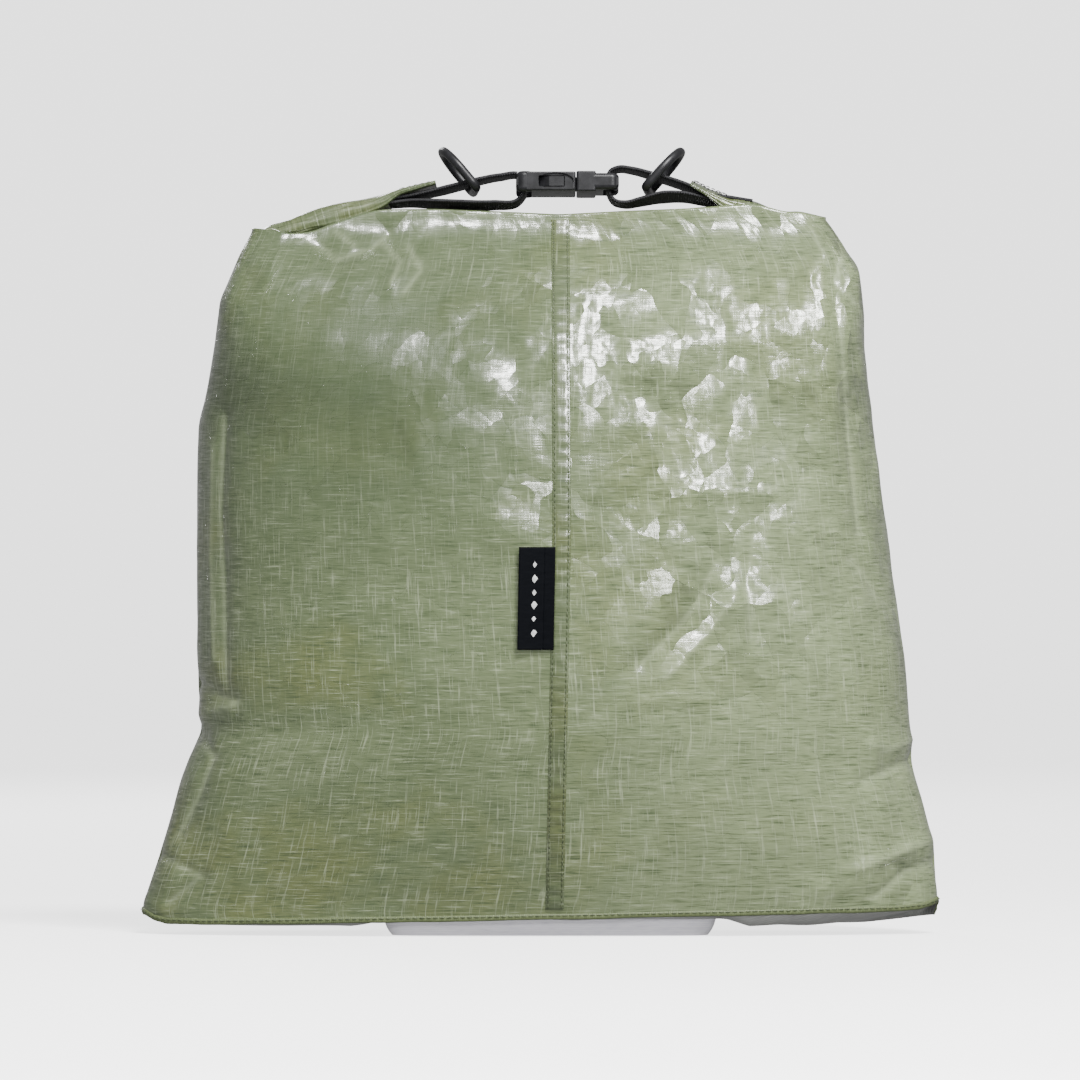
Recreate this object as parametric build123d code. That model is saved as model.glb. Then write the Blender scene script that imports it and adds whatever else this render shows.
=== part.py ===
from build123d import *
import os
from math import atan2, cos, degrees, hypot, pi, radians, sin

# A roll-top dry bag, filled and standing on its base.  Millimetres, +Z up.
# The origin is on the floor, under the middle of the bag; the front faces -Y.
os.makedirs("parts", exist_ok=True)

# ---- bag body ----
bag_width = 377.0          # across the two bottom corners
bag_depth = 177.0          # front to back at the fullest height
bag_height = 321.0         # base panel to the top of the wrap
laminate = 0.8             # wall of the coated laminate
bond_gap = 0.05            # glue line between bonded layers
seam_x = 7.5               # front seam, to the right of the bag's middle
seam_slit = 0.3            # where the wrap's two edges meet under the seam
seam_width = 6.0
thread_width = 0.5
thread_height = 0.3
tape_thickness = 0.3
seam_tape_width = 18.0
hem_height = 4.2           # binding round the bottom edge
hem_thread_drop = 1.8      # thread line below the top of the binding
base_tape_height = 12.0

# Body outline: share of the height, of the left and right half widths, and of the depth
body_outline = [
    (0.000, 1.000, 1.000, 0.565),
    (0.050, 0.974, 0.991, 0.643),
    (0.110, 0.944, 0.979, 0.733),
    (0.180, 0.914, 0.965, 0.822),
    (0.260, 0.885, 0.947, 0.909),
    (0.350, 0.866, 0.925, 0.971),
    (0.450, 0.864, 0.902, 0.994),
    (0.550, 0.862, 0.880, 1.000),
    (0.640, 0.861, 0.861, 0.971),
    (0.720, 0.860, 0.845, 0.920),
    (0.790, 0.845, 0.832, 0.833),
    (0.850, 0.820, 0.818, 0.725),
    (0.900, 0.778, 0.789, 0.585),
    (0.940, 0.727, 0.742, 0.456),
    (0.970, 0.615, 0.634, 0.315),
    (0.988, 0.508, 0.530, 0.217),
    (1.000, 0.430, 0.450, 0.150),
]

# ---- base ----
foot_height = 8.5          # floor to the bottom seam
foot_width = 157.0         # at the seam
foot_depth = 76.0
foot_taper = 7.0           # each side draws in by this much at the floor
foot_shift = 4.7           # middle of the foot, right of the bag's middle
patch_flange = 4.0

# ---- rolled collar ----
roll_width = 28.0          # front to back
roll_thickness = 6.0
roll_clearance = 0.3       # collar over the wrap
fold_radius = 4.1          # centre line of the fold at each end of the roll
fold_inset = 62.0          # fold centre, in from the bag's half width
fold_drop = 4.9            # fold centre, below the middle of the roll
roll_dip = 1.9             # sag of the crease at its middle
roll_shoulder = 46.0       # from the fold centre to the level part of the roll
stiffener_thickness = 0.6
stiffener_width = 20.0
stiffener_gap = 0.15
arm_gap = 0.3              # end of the roll to the arm that carries on from it
tab_thickness = 2.2
tab_lap = 23.0             # length of strap that is sewn under each tab

# ---- closure ----
closure_x = 13.0           # middle of the buckle
closure_tilt = -5.0        # the loop leans back, its front edge up
loop_rise = 14.5           # pivot line of the loop above the middle of the roll
buckle_rise = 20.1         # middle of the buckle above the middle of the roll
strap_width = 20.0
strap_thickness = 1.4
left_loop = 37.7           # buckle end to the edge of the tab
right_loop = 40.3
tack_size = 16.0           # box stitch through each tab
tack_thread = 0.8

buckle_width = 30.0
socket_length = 28.4
socket_thickness = 9.0
plug_length = 20.2
bar_end_length = 8.6       # cheeks of the socket beside the strap
bar_end_thickness = 9.8
shoulder_length = 9.2      # thicker part of the plug next to the socket
shoulder_thickness = 9.6
tail_thickness = 7.8
corner_radius = 3.8
soft_edge = 2.1            # rounding of the strap ends of the buckle
crisp_edge = 0.7
buckle_gap = 0.3           # socket mouth to the shoulder of the plug
bar_length = 3.2
bar_height = 4.4
slot_length = 4.3
slot_side = 0.75           # strap slot beyond each edge of the strap
cavity_depth = 19.4
cavity_wall = 2.7
cavity_height = 5.4
catch_near = 5.2           # side window, from the mouth of the socket
catch_length = 12.4
window_corner = 0.7
thumb_length = 17.2        # oval recess round each side window
thumb_height = 8.0
thumb_depth = 1.1
thumb_shift = 1.9          # recess to the middle of the window, towards the mouth
tongue_width = 4.4
tongue_length = 14.2
slide_gap = 0.4            # prongs and tongue to the roof and floor of the cavity
prong_pivot_r = 1.8
prong_pivot_gap = 0.06
prong_pivot_in = 5.5       # pivot behind the shoulder of the plug
prong_pivot_side = 6.4     # pivot in from the side of the buckle
prong_thickness = 2.6
prong_swing = 1.2          # room for a pressed prong at the shoulder
latch_gap = 0.4
pad_recess = 0.8           # pad below the side of the socket
nose_gap = 0.8             # prong nose to the end of the cavity

ring_bar = 4.2             # D ring section
ring_play = 1.3            # strap to the inside of the ring, each side
ring_height = 26.0         # bar centre to the top of the bow
ring_corner = 3.4
ring_left_in = 19.5        # ring bar from the end of the buckle
ring_right_in = 13.5
ring_left_drop = 2.7       # ring bar below the middle of the buckle
ring_right_drop = 2.4
ring_left_lean = -40.0     # from upright; positive leans right
ring_right_lean = 42.0
ring_yaw = 4.0            # each ring sits a little askew in its loop

# Strap heights as (share of the way from the bar to the end of the lap, height over the buckle)
left_upper = [(1.0, -7.9), (0.82, -6.2), (0.63, -3.7), (0.47, -1.2), (0.30, 1.6), (0.15, 3.4)]
left_turn = [(0.4, 3.7), (3.0, 0.6), (2.7, -4.2), (-0.5, -8.4)]
left_lower = [(0.20, -9.9), (0.40, -10.2), (0.63, -9.4), (0.82, -8.9), (1.0, -9.8)]
right_upper = [(1.0, -8.9), (0.85, -7.4), (0.66, -5.4), (0.54, -1.8), (0.40, 1.4), (0.25, 4.4), (0.12, 6.6)]
right_turn = [(1.2, 7.2), (-2.4, 5.6), (-3.9, 1.0), (-3.4, -4.0), (-0.6, -8.4)]
right_lower = [(0.07, -9.6), (0.18, -8.3), (0.33, -6.2), (0.50, -6.0), (0.66, -8.0), (0.85, -9.6), (1.0, -10.8)]

# ---- label ----
label_width = 12.0
label_height = 48.0
label_thickness = 0.6
label_bottom = 135.4
label_gap = 0.9            # flap to a straight line down the wrap behind it
label_root = 2.6           # width caught beside the seam

# ---- worked out ----
panel_top = foot_height + laminate
wrap_top = panel_top + bag_height
roll_z = wrap_top + roll_clearance + roll_thickness / 2 + roll_dip
loop_z = roll_z + loop_rise
buckle_z = roll_z + buckle_rise
socket_left = closure_x - (socket_length + buckle_gap + plug_length) / 2
mouth_x = socket_left + socket_length
plug_left = mouth_x + buckle_gap
plug_right = plug_left + plug_length
left_bar = socket_left + bar_length / 2
right_bar = plug_right - bar_length / 2
tab_left = socket_left - left_loop
tab_right = plug_right + right_loop
fold_x = bag_width / 2 - fold_inset
fold_z = roll_z - fold_drop
slot_width = strap_width + 2 * slot_side
prong_height = cavity_height - 2 * slide_gap
prong_pivot_y = buckle_width / 2 - prong_pivot_side


def save(name, shape):
    export_step(shape, f"parts/{name}.step")


def slab(x0, x1, y0, y1, z0, z1):
    """A box between two corners."""
    return Pos((x0 + x1) / 2, (y0 + y1) / 2, (z0 + z1) / 2) * Box(x1 - x0, y1 - y0, z1 - z0)


def tilted(shape):
    """Leans a piece of the closure about the loop's pivot line."""
    return shape.rotate(Axis((0, 0, loop_z), (1, 0, 0)), closure_tilt)


# ---- body ----
def outline_at(z):
    """Left, right and front-to-back half sizes of the bag at a height."""
    share = (z - panel_top) / bag_height
    for low, high in zip(body_outline, body_outline[1:]):
        if share <= high[0]:
            break
    part = (share - low[0]) / (high[0] - low[0])
    left, right, depth = [a + part * (b - a) for a, b in zip(low[1:], high[1:])]
    return left * bag_width / 2, right * bag_width / 2, depth * bag_depth / 2


def ring(grow, z):
    """The bag's outline at a height, larger by grow all round."""
    left, right, depth = outline_at(z)
    oval = Pos((right - left) / 2, 0, z) * Ellipse((left + right) / 2 + grow, depth + grow)
    return oval.face().outer_wire()


def body_skin(inner, outer, z0, z1):
    """The layer between two offsets of the bag's outline, from z0 to z1."""
    levels = [panel_top + row[0] * bag_height for row in body_outline]
    heights = [z0] + [z for z in levels if z0 + 0.5 < z < z1 - 0.5] + [z1]
    inside = [ring(inner, z) for z in heights]
    outside = [ring(outer, z) for z in heights]
    faces = list(Shell.make_loft(outside, ruled=True).faces())
    faces += Shell.make_loft(inside, ruled=True).faces()
    faces += [Face(outside[0], [inside[0]]), Face(outside[-1], [inside[-1]])]
    return Solid(Shell(faces)).fix()


def front_strip(x0, x1, z0, z1):
    return slab(x0, x1, -bag_depth, 0, z0, z1)


def make_body():
    wrap = body_skin(-laminate, 0, panel_top, wrap_top - laminate)
    cap = extrude(Face(ring(0, wrap_top - laminate)), amount=laminate)
    wrap = wrap + cap - front_strip(seam_x - seam_slit / 2, seam_x + seam_slit / 2, 0, wrap_top + 1)
    save("body_wrap", wrap)


def make_front_seam():
    z0 = panel_top + hem_height + bond_gap
    z1 = wrap_top - 6 * laminate
    x0 = seam_x - seam_width / 2
    x1 = seam_x + seam_width / 2
    outer = bond_gap + laminate / 2
    save("front_seam", body_skin(bond_gap, outer, z0, z1) & front_strip(x0, x1, z0, z1))
    top = outer + bond_gap
    thread = body_skin(top, top + thread_height, z0 + 1, z1 - 1)
    for name, x in (("left", x0 + thread_width), ("right", x1 - thread_width)):
        row = front_strip(x - thread_width / 2, x + thread_width / 2, z0, z1)
        save(f"front_seam_thread_{name}", thread & row)
    z0 = panel_top + base_tape_height + 1
    z1 = wrap_top - 20 * laminate
    back = -laminate - bond_gap
    tape = front_strip(seam_x - seam_tape_width / 2, seam_x + seam_tape_width / 2, z0, z1)
    save("front_seam_tape", body_skin(back - tape_thickness, back, z0, z1) & tape)


def make_bottom_seam():
    hem_top = panel_top + hem_height
    outer = bond_gap + laminate
    save("bottom_binding", body_skin(bond_gap, outer, panel_top, hem_top))
    top = outer + bond_gap
    z = hem_top - hem_thread_drop
    save("bottom_thread", body_skin(top, top + thread_height, z - thread_width / 2, z + thread_width / 2))
    back = -laminate - bond_gap
    tape = body_skin(back - tape_thickness, back, panel_top + bond_gap, panel_top + base_tape_height)
    save("bottom_seam_tape", tape)


# ---- base ----
def foot_form(grow, top):
    """The foot's tapered block, its sides and floor larger by grow, up to a height."""
    slope = foot_taper / foot_height
    faces = []
    for z in (laminate - grow, top):
        spread = slope * (z - foot_height) + grow - laminate
        faces.append(Pos(foot_shift, 0, z) * Rectangle(foot_width + 2 * spread, foot_depth + 2 * spread))
    return loft(faces, ruled=True)


def make_base():
    plate = Pos(0, 0, foot_height) * extrude(
        Ellipse(bag_width / 2, body_outline[0][3] * bag_depth / 2), amount=laminate)
    tray = foot_form(0, foot_height) + plate
    save("base_panel", tray - foot_form(-laminate, panel_top + 1))
    x = foot_width / 2 + patch_flange
    y = foot_depth / 2 + patch_flange
    flange = slab(foot_shift - x, foot_shift + x, -y, y, foot_height - laminate, foot_height)
    save("base_patch", foot_form(laminate, foot_height) + flange - foot_form(0, foot_height + 1))


# ---- rolled collar ----
def strip(route, thickness, width, shift=0.0):
    """A flat band along a curve in the XZ plane, even in thickness, its width along Y."""
    line = Spline(*route)
    count = 5 * len(route)
    upper = []
    lower = []
    for k in range(count + 1):
        point = line @ (k / count)
        along = line % (k / count)
        across = Vector(-along.Y, along.X)
        upper.append(point + across * (shift + thickness / 2))
        lower.append(point + across * (shift - thickness / 2))
    top = Spline(*upper)
    bottom = Spline(*lower)
    edges = [top, Line(top @ 1, bottom @ 1), bottom, Line(bottom @ 0, top @ 0)]
    return extrude(Plane.XZ * make_face(edges), amount=width / 2, both=True)


def collar_route():
    """Centre line of the roll from its left fold, along the top of the bag, to its right fold."""
    left = [(-fold_x - fold_radius * sin(a), fold_z + fold_radius * cos(a))
            for a in (0, pi / 4, pi / 2, 3 * pi / 4)]
    level = fold_x - roll_shoulder
    ramp = (fold_x - roll_shoulder / 2, (roll_z + fold_z - fold_radius) / 2)
    middle = [(-ramp[0], ramp[1]), (-level, roll_z), (seam_x, roll_z - roll_dip), (level, roll_z), ramp]
    return left + middle + [(-x, z) for x, z in reversed(left)]


def make_collar():
    route = collar_route()
    inside = 2 * stiffener_thickness + 3 * stiffener_gap
    pocket = strip(route[4:-4], inside, stiffener_width + 2 * stiffener_gap)
    save("rolled_collar", strip(route, roll_thickness, roll_width) - pocket)
    offset = (stiffener_thickness + stiffener_gap) / 2
    save("stiffener_front", strip(route[4:-4], stiffener_thickness, stiffener_width, offset))
    save("stiffener_back", strip(route[4:-4], stiffener_thickness, stiffener_width, -offset))


# ---- straps and the collar's arms ----
def strap_route(bar_x, side, lap_end, upper, turn, lower):
    """Centre line of a strap loop: from under the tab to the bar, round it and back."""
    reach = lap_end - bar_x
    out = [(bar_x + s * reach, buckle_z + r) for s, r in upper]
    back = [(bar_x + s * reach, buckle_z + r) for s, r in lower]
    return out + [(bar_x + x, buckle_z + r) for x, r in turn] + back


def height_on(route, x):
    """Height of a strap's upper run at x."""
    for (xa, za), (xb, zb) in zip(route, route[1:]):
        if min(xa, xb) <= x <= max(xa, xb):
            return za + (zb - za) * (x - xa) / (xb - xa)


left_route = strap_route(left_bar, -1, tab_left - tab_lap, left_upper, left_turn, left_lower)
right_route = strap_route(right_bar, 1, tab_right + tab_lap, right_upper, right_turn, right_lower)
ends = (("left", -1, tab_left, left_route), ("right", 1, tab_right, right_route))


def arm_stations(side, tab, route):
    """(x, underside, thickness, share of the tilt) along one end of the collar."""
    lap_end = tab + side * tab_lap
    skin = strap_thickness / 2 + bond_gap
    tab_under = height_on(route, tab - side * 0.01) + skin
    lap_under = height_on(route, lap_end - side * 0.01) + skin
    under = fold_z + fold_radius - roll_thickness / 2
    return [(side * (fold_x - arm_gap), under, roll_thickness, 0),
            (lap_end + side * 12, (under + 2 * lap_under) / 3, 5.4, 0.4),
            (lap_end, lap_under + 0.3, 4.2, 1),
            (tab, tab_under + 0.1, tab_thickness, 1)]


def make_arms():
    for name, side, tab, route in ends:
        faces = []
        for x, under, thickness, lean in arm_stations(side, tab, route):
            plane = Plane(origin=(x, 0, 0), x_dir=(0, 1, 0), z_dir=(1, 0, 0))
            face = plane * Pos(0, under + thickness / 2) * Rectangle(roll_width, thickness)
            faces.append(face.rotate(Axis((0, 0, loop_z), (1, 0, 0)), lean * closure_tilt))
        save(f"collar_arm_{name}", loft(faces, ruled=True))


def make_straps():
    for name, side, tab, route in ends:
        save(f"strap_{name}", tilted(strip(route, strap_thickness, strap_width)))


def make_tacks():
    """Box stitch with a cross on top of each tab."""
    for name, side, tab, route in ends:
        far, near = arm_stations(side, tab, route)[2:]
        top_far = Vector(far[0], 0, far[1] + far[2])
        top_near = Vector(near[0], 0, near[1] + near[2])
        along = (top_near - top_far) * -side
        up = Vector(-along.Z, 0, along.X) * (1 if along.X > 0 else -1)
        middle = (top_far + top_near) * 0.5 + up.normalized() * bond_gap
        frame = Rectangle(tack_size, tack_size) - Rectangle(tack_size - 2 * tack_thread,
                                                            tack_size - 2 * tack_thread)
        cross = Rectangle((tack_size - tack_thread) * 2 ** 0.5, tack_thread)
        sketch = frame + Rot(0, 0, 45) * cross + Rot(0, 0, -45) * cross
        plane = Plane(origin=middle, x_dir=along, z_dir=up)
        save(f"strap_tack_{name}", tilted(extrude(plane * sketch, amount=thread_height)))


# ---- buckle ----
def block(x0, x1, thickness, corner, edge):
    """A rounded block of the buckle between two positions along X."""
    body = Pos((x0 + x1) / 2, 0, buckle_z) * Box(x1 - x0, buckle_width, thickness)
    body = fillet(body.edges().filter_by(Axis.Z), corner)
    levels = body.faces().sort_by(Axis.Z)
    return fillet(levels[-1].edges() + levels[0].edges(), edge)


def strap_bar(x):
    """The rounded bar a strap turns round."""
    oval = Plane.XZ * Pos(x, buckle_z) * Ellipse(bar_length / 2, bar_height / 2)
    return extrude(oval, amount=buckle_width / 2 - 1, both=True)


def slot_cut(x0, x1):
    return slab(x0, x1, -slot_width / 2, slot_width / 2, buckle_z - 10, buckle_z + 10)


def make_socket():
    half = cavity_height / 2
    body = block(socket_left + bar_end_length / 2, mouth_x, socket_thickness, crisp_edge + 0.4, crisp_edge)
    body += block(socket_left, socket_left + bar_end_length, bar_end_thickness, corner_radius, soft_edge)
    body -= slot_cut(socket_left - 1, socket_left + bar_length + slot_length)
    body += strap_bar(left_bar)
    inner = buckle_width / 2 - cavity_wall
    body -= slab(mouth_x - cavity_depth, mouth_x + 1, -inner, inner, buckle_z - half, buckle_z + half)
    window_x = mouth_x - catch_near - catch_length / 2
    window = Plane.XZ * Pos(window_x, buckle_z) * RectangleRounded(catch_length, cavity_height, window_corner)
    window = extrude(window, amount=buckle_width, both=True)
    oval = Plane.XZ * Pos(window_x + thumb_shift, buckle_z) * Ellipse(thumb_length / 2, thumb_height / 2)
    thumb = extrude(oval, amount=buckle_width, both=True)
    side = buckle_width / 2 - thumb_depth
    thumb -= slab(window_x - 20, window_x + 20, -side, side, buckle_z - 10, buckle_z + 10)
    save("buckle_socket", tilted(body - window - thumb))


def prong_pocket(side):
    """Round seat and mouth for one prong in the shoulder of the plug."""
    x = plug_left + prong_pivot_in
    height = prong_height + 2 * slide_gap
    outer = prong_pivot_y + prong_thickness / 2 + slide_gap
    inner = prong_pivot_y - prong_thickness / 2 - prong_swing
    seat = Pos(x, side * prong_pivot_y, buckle_z) * Cylinder(prong_pivot_r + prong_pivot_gap, height)
    low, high = sorted((side * inner, side * outer))
    return seat + slab(plug_left - 1, x - 0.6, low, high, buckle_z - height / 2, buckle_z + height / 2)


def make_plug():
    body = block(plug_left, plug_left + shoulder_length, shoulder_thickness, crisp_edge + 0.4, crisp_edge)
    body += block(plug_left + shoulder_length / 2, plug_right, tail_thickness, corner_radius, soft_edge)
    body -= slot_cut(plug_right - bar_length - slot_length, plug_right + 1)
    body += strap_bar(right_bar)
    body += slab(plug_left - tongue_length, plug_left + 1, -tongue_width / 2, tongue_width / 2,
                 buckle_z - prong_height / 2, buckle_z + prong_height / 2)
    save("buckle_plug", tilted(body - prong_pocket(1) - prong_pocket(-1)))


def make_prongs():
    pivot = plug_left + prong_pivot_in
    latch = mouth_x - catch_near - latch_gap
    nose = mouth_x - cavity_depth + nose_gap
    outer = buckle_width / 2 - pad_recess
    inner = prong_pivot_y - prong_thickness / 2
    arm = prong_pivot_y + prong_thickness / 2
    ramp = mouth_x - catch_near - catch_length
    for name, side in (("front", -1), ("back", 1)):
        outline = [(pivot, inner), (pivot, arm), (latch, arm), (latch, outer), (ramp + 5.0, outer),
                   (ramp + latch_gap, arm + 1.6), (nose, arm - 0.2), (nose, inner + 1.2), (ramp + 3.0, inner)]
        profile = make_face(Polyline(*[(x, side * y) for x, y in outline], close=True))
        low = buckle_z - prong_height / 2
        prong = Pos(0, 0, low) * extrude(profile, amount=prong_height, dir=(0, 0, 1))
        prong += Pos(pivot, side * prong_pivot_y, buckle_z) * Cylinder(prong_pivot_r, prong_height)
        save(f"prong_{name}", tilted(prong))


# ---- D rings ----
def d_ring():
    """A D ring upright on its bar, the bar's middle at the origin and its length along Y."""
    half = strap_width / 2 + ring_play + ring_bar / 2
    top = ring_height - ring_bar / 2
    turn = ring_corner * (1 - cos(pi / 4))
    right = [Line((0, 0), (half - ring_corner, 0)),
             ThreePointArc((half - ring_corner, 0), (half - turn, turn), (half, ring_corner)),
             Line((half, ring_corner), (half, top - half)),
             ThreePointArc((half, top - half), (0, top), (-half, top - half)),
             Line((-half, top - half), (-half, ring_corner)),
             ThreePointArc((-half, ring_corner), (turn - half, turn), (ring_corner - half, 0)),
             Line((ring_corner - half, 0), (0, 0))]
    path = Plane.YZ * Wire(right)
    return sweep(Plane.XZ * Circle(ring_bar / 2), path=path)


def make_rings():
    for name, x, drop, lean, yaw in (
            ("left", socket_left - ring_left_in, ring_left_drop, ring_left_lean, ring_yaw),
            ("right", plug_right + ring_right_in, ring_right_drop, ring_right_lean, -ring_yaw)):
        placed = Pos(x, 0, buckle_z - drop) * Rot(0, 0, yaw) * Rot(0, lean, 0) * d_ring()
        save(f"d_ring_{name}", tilted(placed))


# ---- label ----
def make_label():
    """The flap lies against the wrap; its root is caught beside the seam."""
    low = outline_at(label_bottom)[2]
    high = outline_at(label_bottom + label_height)[2]
    lean = degrees(atan2(high - low, label_height))
    edge = seam_x - seam_width / 2 - bond_gap
    hinge = edge - label_root
    axis = Axis((0, -low, label_bottom), (1, 0, 0))
    z1 = label_bottom + label_height
    back = -low - label_gap
    flap = slab(hinge - label_width, hinge - 0.15, back - label_thickness, back, label_bottom, z1)
    root = slab(hinge, edge, back - label_thickness, back, label_bottom, z1)
    save("label_flap", flap.rotate(axis, lean))
    save("label_root", root.rotate(axis, lean))


make_body()
make_front_seam()
make_bottom_seam()
make_base()
make_collar()
make_arms()
make_straps()
make_tacks()
make_socket()
make_plug()
make_prongs()
make_rings()
make_label()
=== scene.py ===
import math
import bmesh
import bpy
import numpy as np
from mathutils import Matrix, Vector


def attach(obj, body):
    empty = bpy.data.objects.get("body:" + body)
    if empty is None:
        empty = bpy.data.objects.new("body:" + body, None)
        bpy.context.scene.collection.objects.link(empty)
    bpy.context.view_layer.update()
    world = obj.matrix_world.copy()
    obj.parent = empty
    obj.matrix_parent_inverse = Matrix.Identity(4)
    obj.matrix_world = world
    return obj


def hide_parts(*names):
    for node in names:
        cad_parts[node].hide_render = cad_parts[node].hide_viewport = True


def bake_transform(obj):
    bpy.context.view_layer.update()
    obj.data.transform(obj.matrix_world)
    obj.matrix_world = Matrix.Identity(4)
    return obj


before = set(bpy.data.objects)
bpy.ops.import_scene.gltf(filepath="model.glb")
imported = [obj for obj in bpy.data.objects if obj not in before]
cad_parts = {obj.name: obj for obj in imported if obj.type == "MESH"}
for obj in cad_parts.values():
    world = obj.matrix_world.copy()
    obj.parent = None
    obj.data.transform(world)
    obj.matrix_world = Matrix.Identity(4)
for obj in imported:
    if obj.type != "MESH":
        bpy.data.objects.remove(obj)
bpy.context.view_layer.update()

# A roll-top dry bag in glossy woven laminate, standing filled and clipped shut.
# Lengths in the dictionaries are millimetres; meshes are made in metres.

bag = {
    "columnsFront": 330,
    "columnsBack": 150,
    "rows": 200,
    "seed": 11,
    "crumple": 1.0,        # overall strength of the creasing
    "halfWidth": 189.0,    # at the hem
    "halfMouth": 136.0,    # at the crease under the roll
    "hemDepth": 49.0,      # half the depth at the hem
    "girth": 820.0,        # round the bag, for the creasing's lattice
}

# Left and right edges of the filled bag by height, and its half depth
leftEdge = [(5.5, -186), (8, -188), (13.8, -189), (35.2, -181.5), (54.6, -175.5), (73.6, -170.1), (88, -164.6),
            (93.1, -162.2), (97, -160.6), (104, -161.7), (120.2, -162.5), (180, -162.4), (240.8, -162),
            (261.3, -157.9), (279.8, -154.9), (300.7, -152.2), (306.9, -149.2), (321.1, -142.5), (333, -136.5),
            (345, -134)]
rightEdge = [(8, 186), (12, 188.2), (18, 189), (39.9, 187.4), (61.3, 182.2), (74, 178.2), (80.8, 176.4),
             (87.4, 176), (100, 175.4), (120.2, 174.2), (129.7, 173.4), (177.2, 166.6), (229.9, 160),
             (255.6, 156.8), (276, 155), (300.7, 153.4), (314.9, 151.6), (329.7, 143.5), (338.2, 136), (345, 131)]
halfDepth = [(5, 49), (9.3, 50), (25, 57), (44.6, 65), (67, 72.7), (92.8, 80.4), (121.7, 85.9), (153.8, 88),
             (185.9, 88.5), (214.8, 85.9), (240.5, 81.4), (262.9, 73.7), (282.2, 64.2), (298, 52), (311, 40.5),
             (320.7, 30), (328, 21.5), (335, 16.5), (342, 15)]
topEdge = [(-136.5, 333.4), (-127, 332.2), (-116, 330.4), (-108, 331.2), (-98, 335.6), (-84.1, 340.4), (-76, 341.9),
           (-48.9, 342.2), (-20, 341), (9.5, 339.6), (40, 341.2), (71.3, 342.4), (95, 344.2), (104, 344.6),
           (110, 343.4), (118.8, 340.6), (124, 341.4), (136, 338.2)]
hemEdge = [(-189, 12), (-187.4, 8.6), (-181.5, 6.2), (-162, 5.7), (-121, 6.6), (-73, 7.6), (0, 9), (83, 10.6),
           (140, 11.6), (170, 12), (184, 13.2), (189, 16)]


def along(table, values):
    # smooth reading of a table of (where, value): linear, then eased by a short average
    xs, ys = np.array(table, float).T
    spread = np.linspace(-1, 1, 7) * 3.0
    return np.mean([np.interp(values + s, xs, ys) for s in spread], axis=0)


def lengthsAlong(points):
    # the distance of each point from the first, along the straight steps between them
    return np.concatenate([[0], np.cumsum(np.linalg.norm(np.diff(points, axis=0), axis=1))])


def smoothNoise(u, v, cell, seed, wrapU=None, eased=True):
    # random values on a square lattice, eased or straight between its points; wrapU joins the two ends
    table = np.random.default_rng(seed).random((256, 256))
    fu, fv = u / cell, v / cell
    if wrapU is not None:
        count = max(3, int(round(wrapU / cell)))
        fu = u / wrapU * count
    else:
        count = 256
    iu, iv = np.floor(fu).astype(int), np.floor(fv).astype(int)
    au, av = fu - iu, fv - iv
    if eased:
        au, av = au * au * (3 - 2 * au), av * av * (3 - 2 * av)
    u0, u1 = iu % count, (iu + 1) % count
    v0, v1 = iv % 256, (iv + 1) % 256
    low = table[u0, v0] * (1 - au) + table[u1, v0] * au
    high = table[u0, v1] * (1 - au) + table[u1, v1] * au
    return low * (1 - av) + high * av


def foldNoise(u, v, cell, seed, wrapU=None):
    # crease lines: the eased lattice folded at its middle value, 0 on a crease and about 0.5 off it
    return np.abs(smoothNoise(u, v, cell, seed, wrapU) - 0.5) * 2


def facetNoise(u, v, cell, seed, wrapU=None):
    # flat facets with sharp folds between them: the straight lattice, its coordinates bent by a broad noise
    bendU = (smoothNoise(u, v, cell * 2.3, seed + 40, wrapU) - 0.5) * cell * 1.1
    bendV = (smoothNoise(u, v, cell * 2.1, seed + 41, wrapU) - 0.5) * cell * 1.6
    a = smoothNoise(u + bendU, v + bendV, cell, seed, wrapU, False)
    b = smoothNoise(u - bendV, v + bendU, cell * 1.37, seed + 1, wrapU, False)
    return np.maximum(a, b * 0.9 + 0.05) - 0.6


def curveThrough(points, count):
    # cubic pieces through the points, slopes taken from their neighbours, then spaced evenly along its length
    p = np.array(points, float)
    t = lengthsAlong(p)
    slope = np.gradient(p, t, axis=0)
    fine = np.linspace(0, t[-1], count * 8)
    i = np.clip(np.searchsorted(t, fine, side="right") - 1, 0, len(t) - 2)
    h = (t[i + 1] - t[i])[:, None]
    s = (fine - t[i])[:, None] / h
    curve = ((2 * s ** 3 - 3 * s ** 2 + 1) * p[i] + (s ** 3 - 2 * s ** 2 + s) * h * slope[i]
             + (3 * s ** 2 - 2 * s ** 3) * p[i + 1] + (s ** 3 - s ** 2) * h * slope[i + 1])
    return evenly(curve, count)


def evenly(curve, count):
    # the same curve as count points at equal distances
    run = lengthsAlong(curve)
    places = np.linspace(0, run[-1], count)
    return np.stack([np.interp(places, run, curve[:, k]) for k in range(curve.shape[1])], axis=-1)


def linked(name, data):
    # a new object of this name and data, in the scene
    made = bpy.data.objects.new(name, data)
    bpy.context.scene.collection.objects.link(made)
    return made


def faceOutwards(mesh):
    # the signed volume of the closed mesh says which way round its faces are
    co = np.empty(len(mesh.vertices) * 3)
    mesh.vertices.foreach_get("co", co)
    co = co.reshape(-1, 3)
    mesh.calc_loop_triangles()
    tris = np.empty(len(mesh.loop_triangles) * 3, int)
    mesh.loop_triangles.foreach_get("vertices", tris)
    a, b, c = (co[tris[k::3]] - co.mean(axis=0) for k in range(3))
    if np.sum(a * np.cross(b, c)) < 0:
        mesh.flip_normals()


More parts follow.
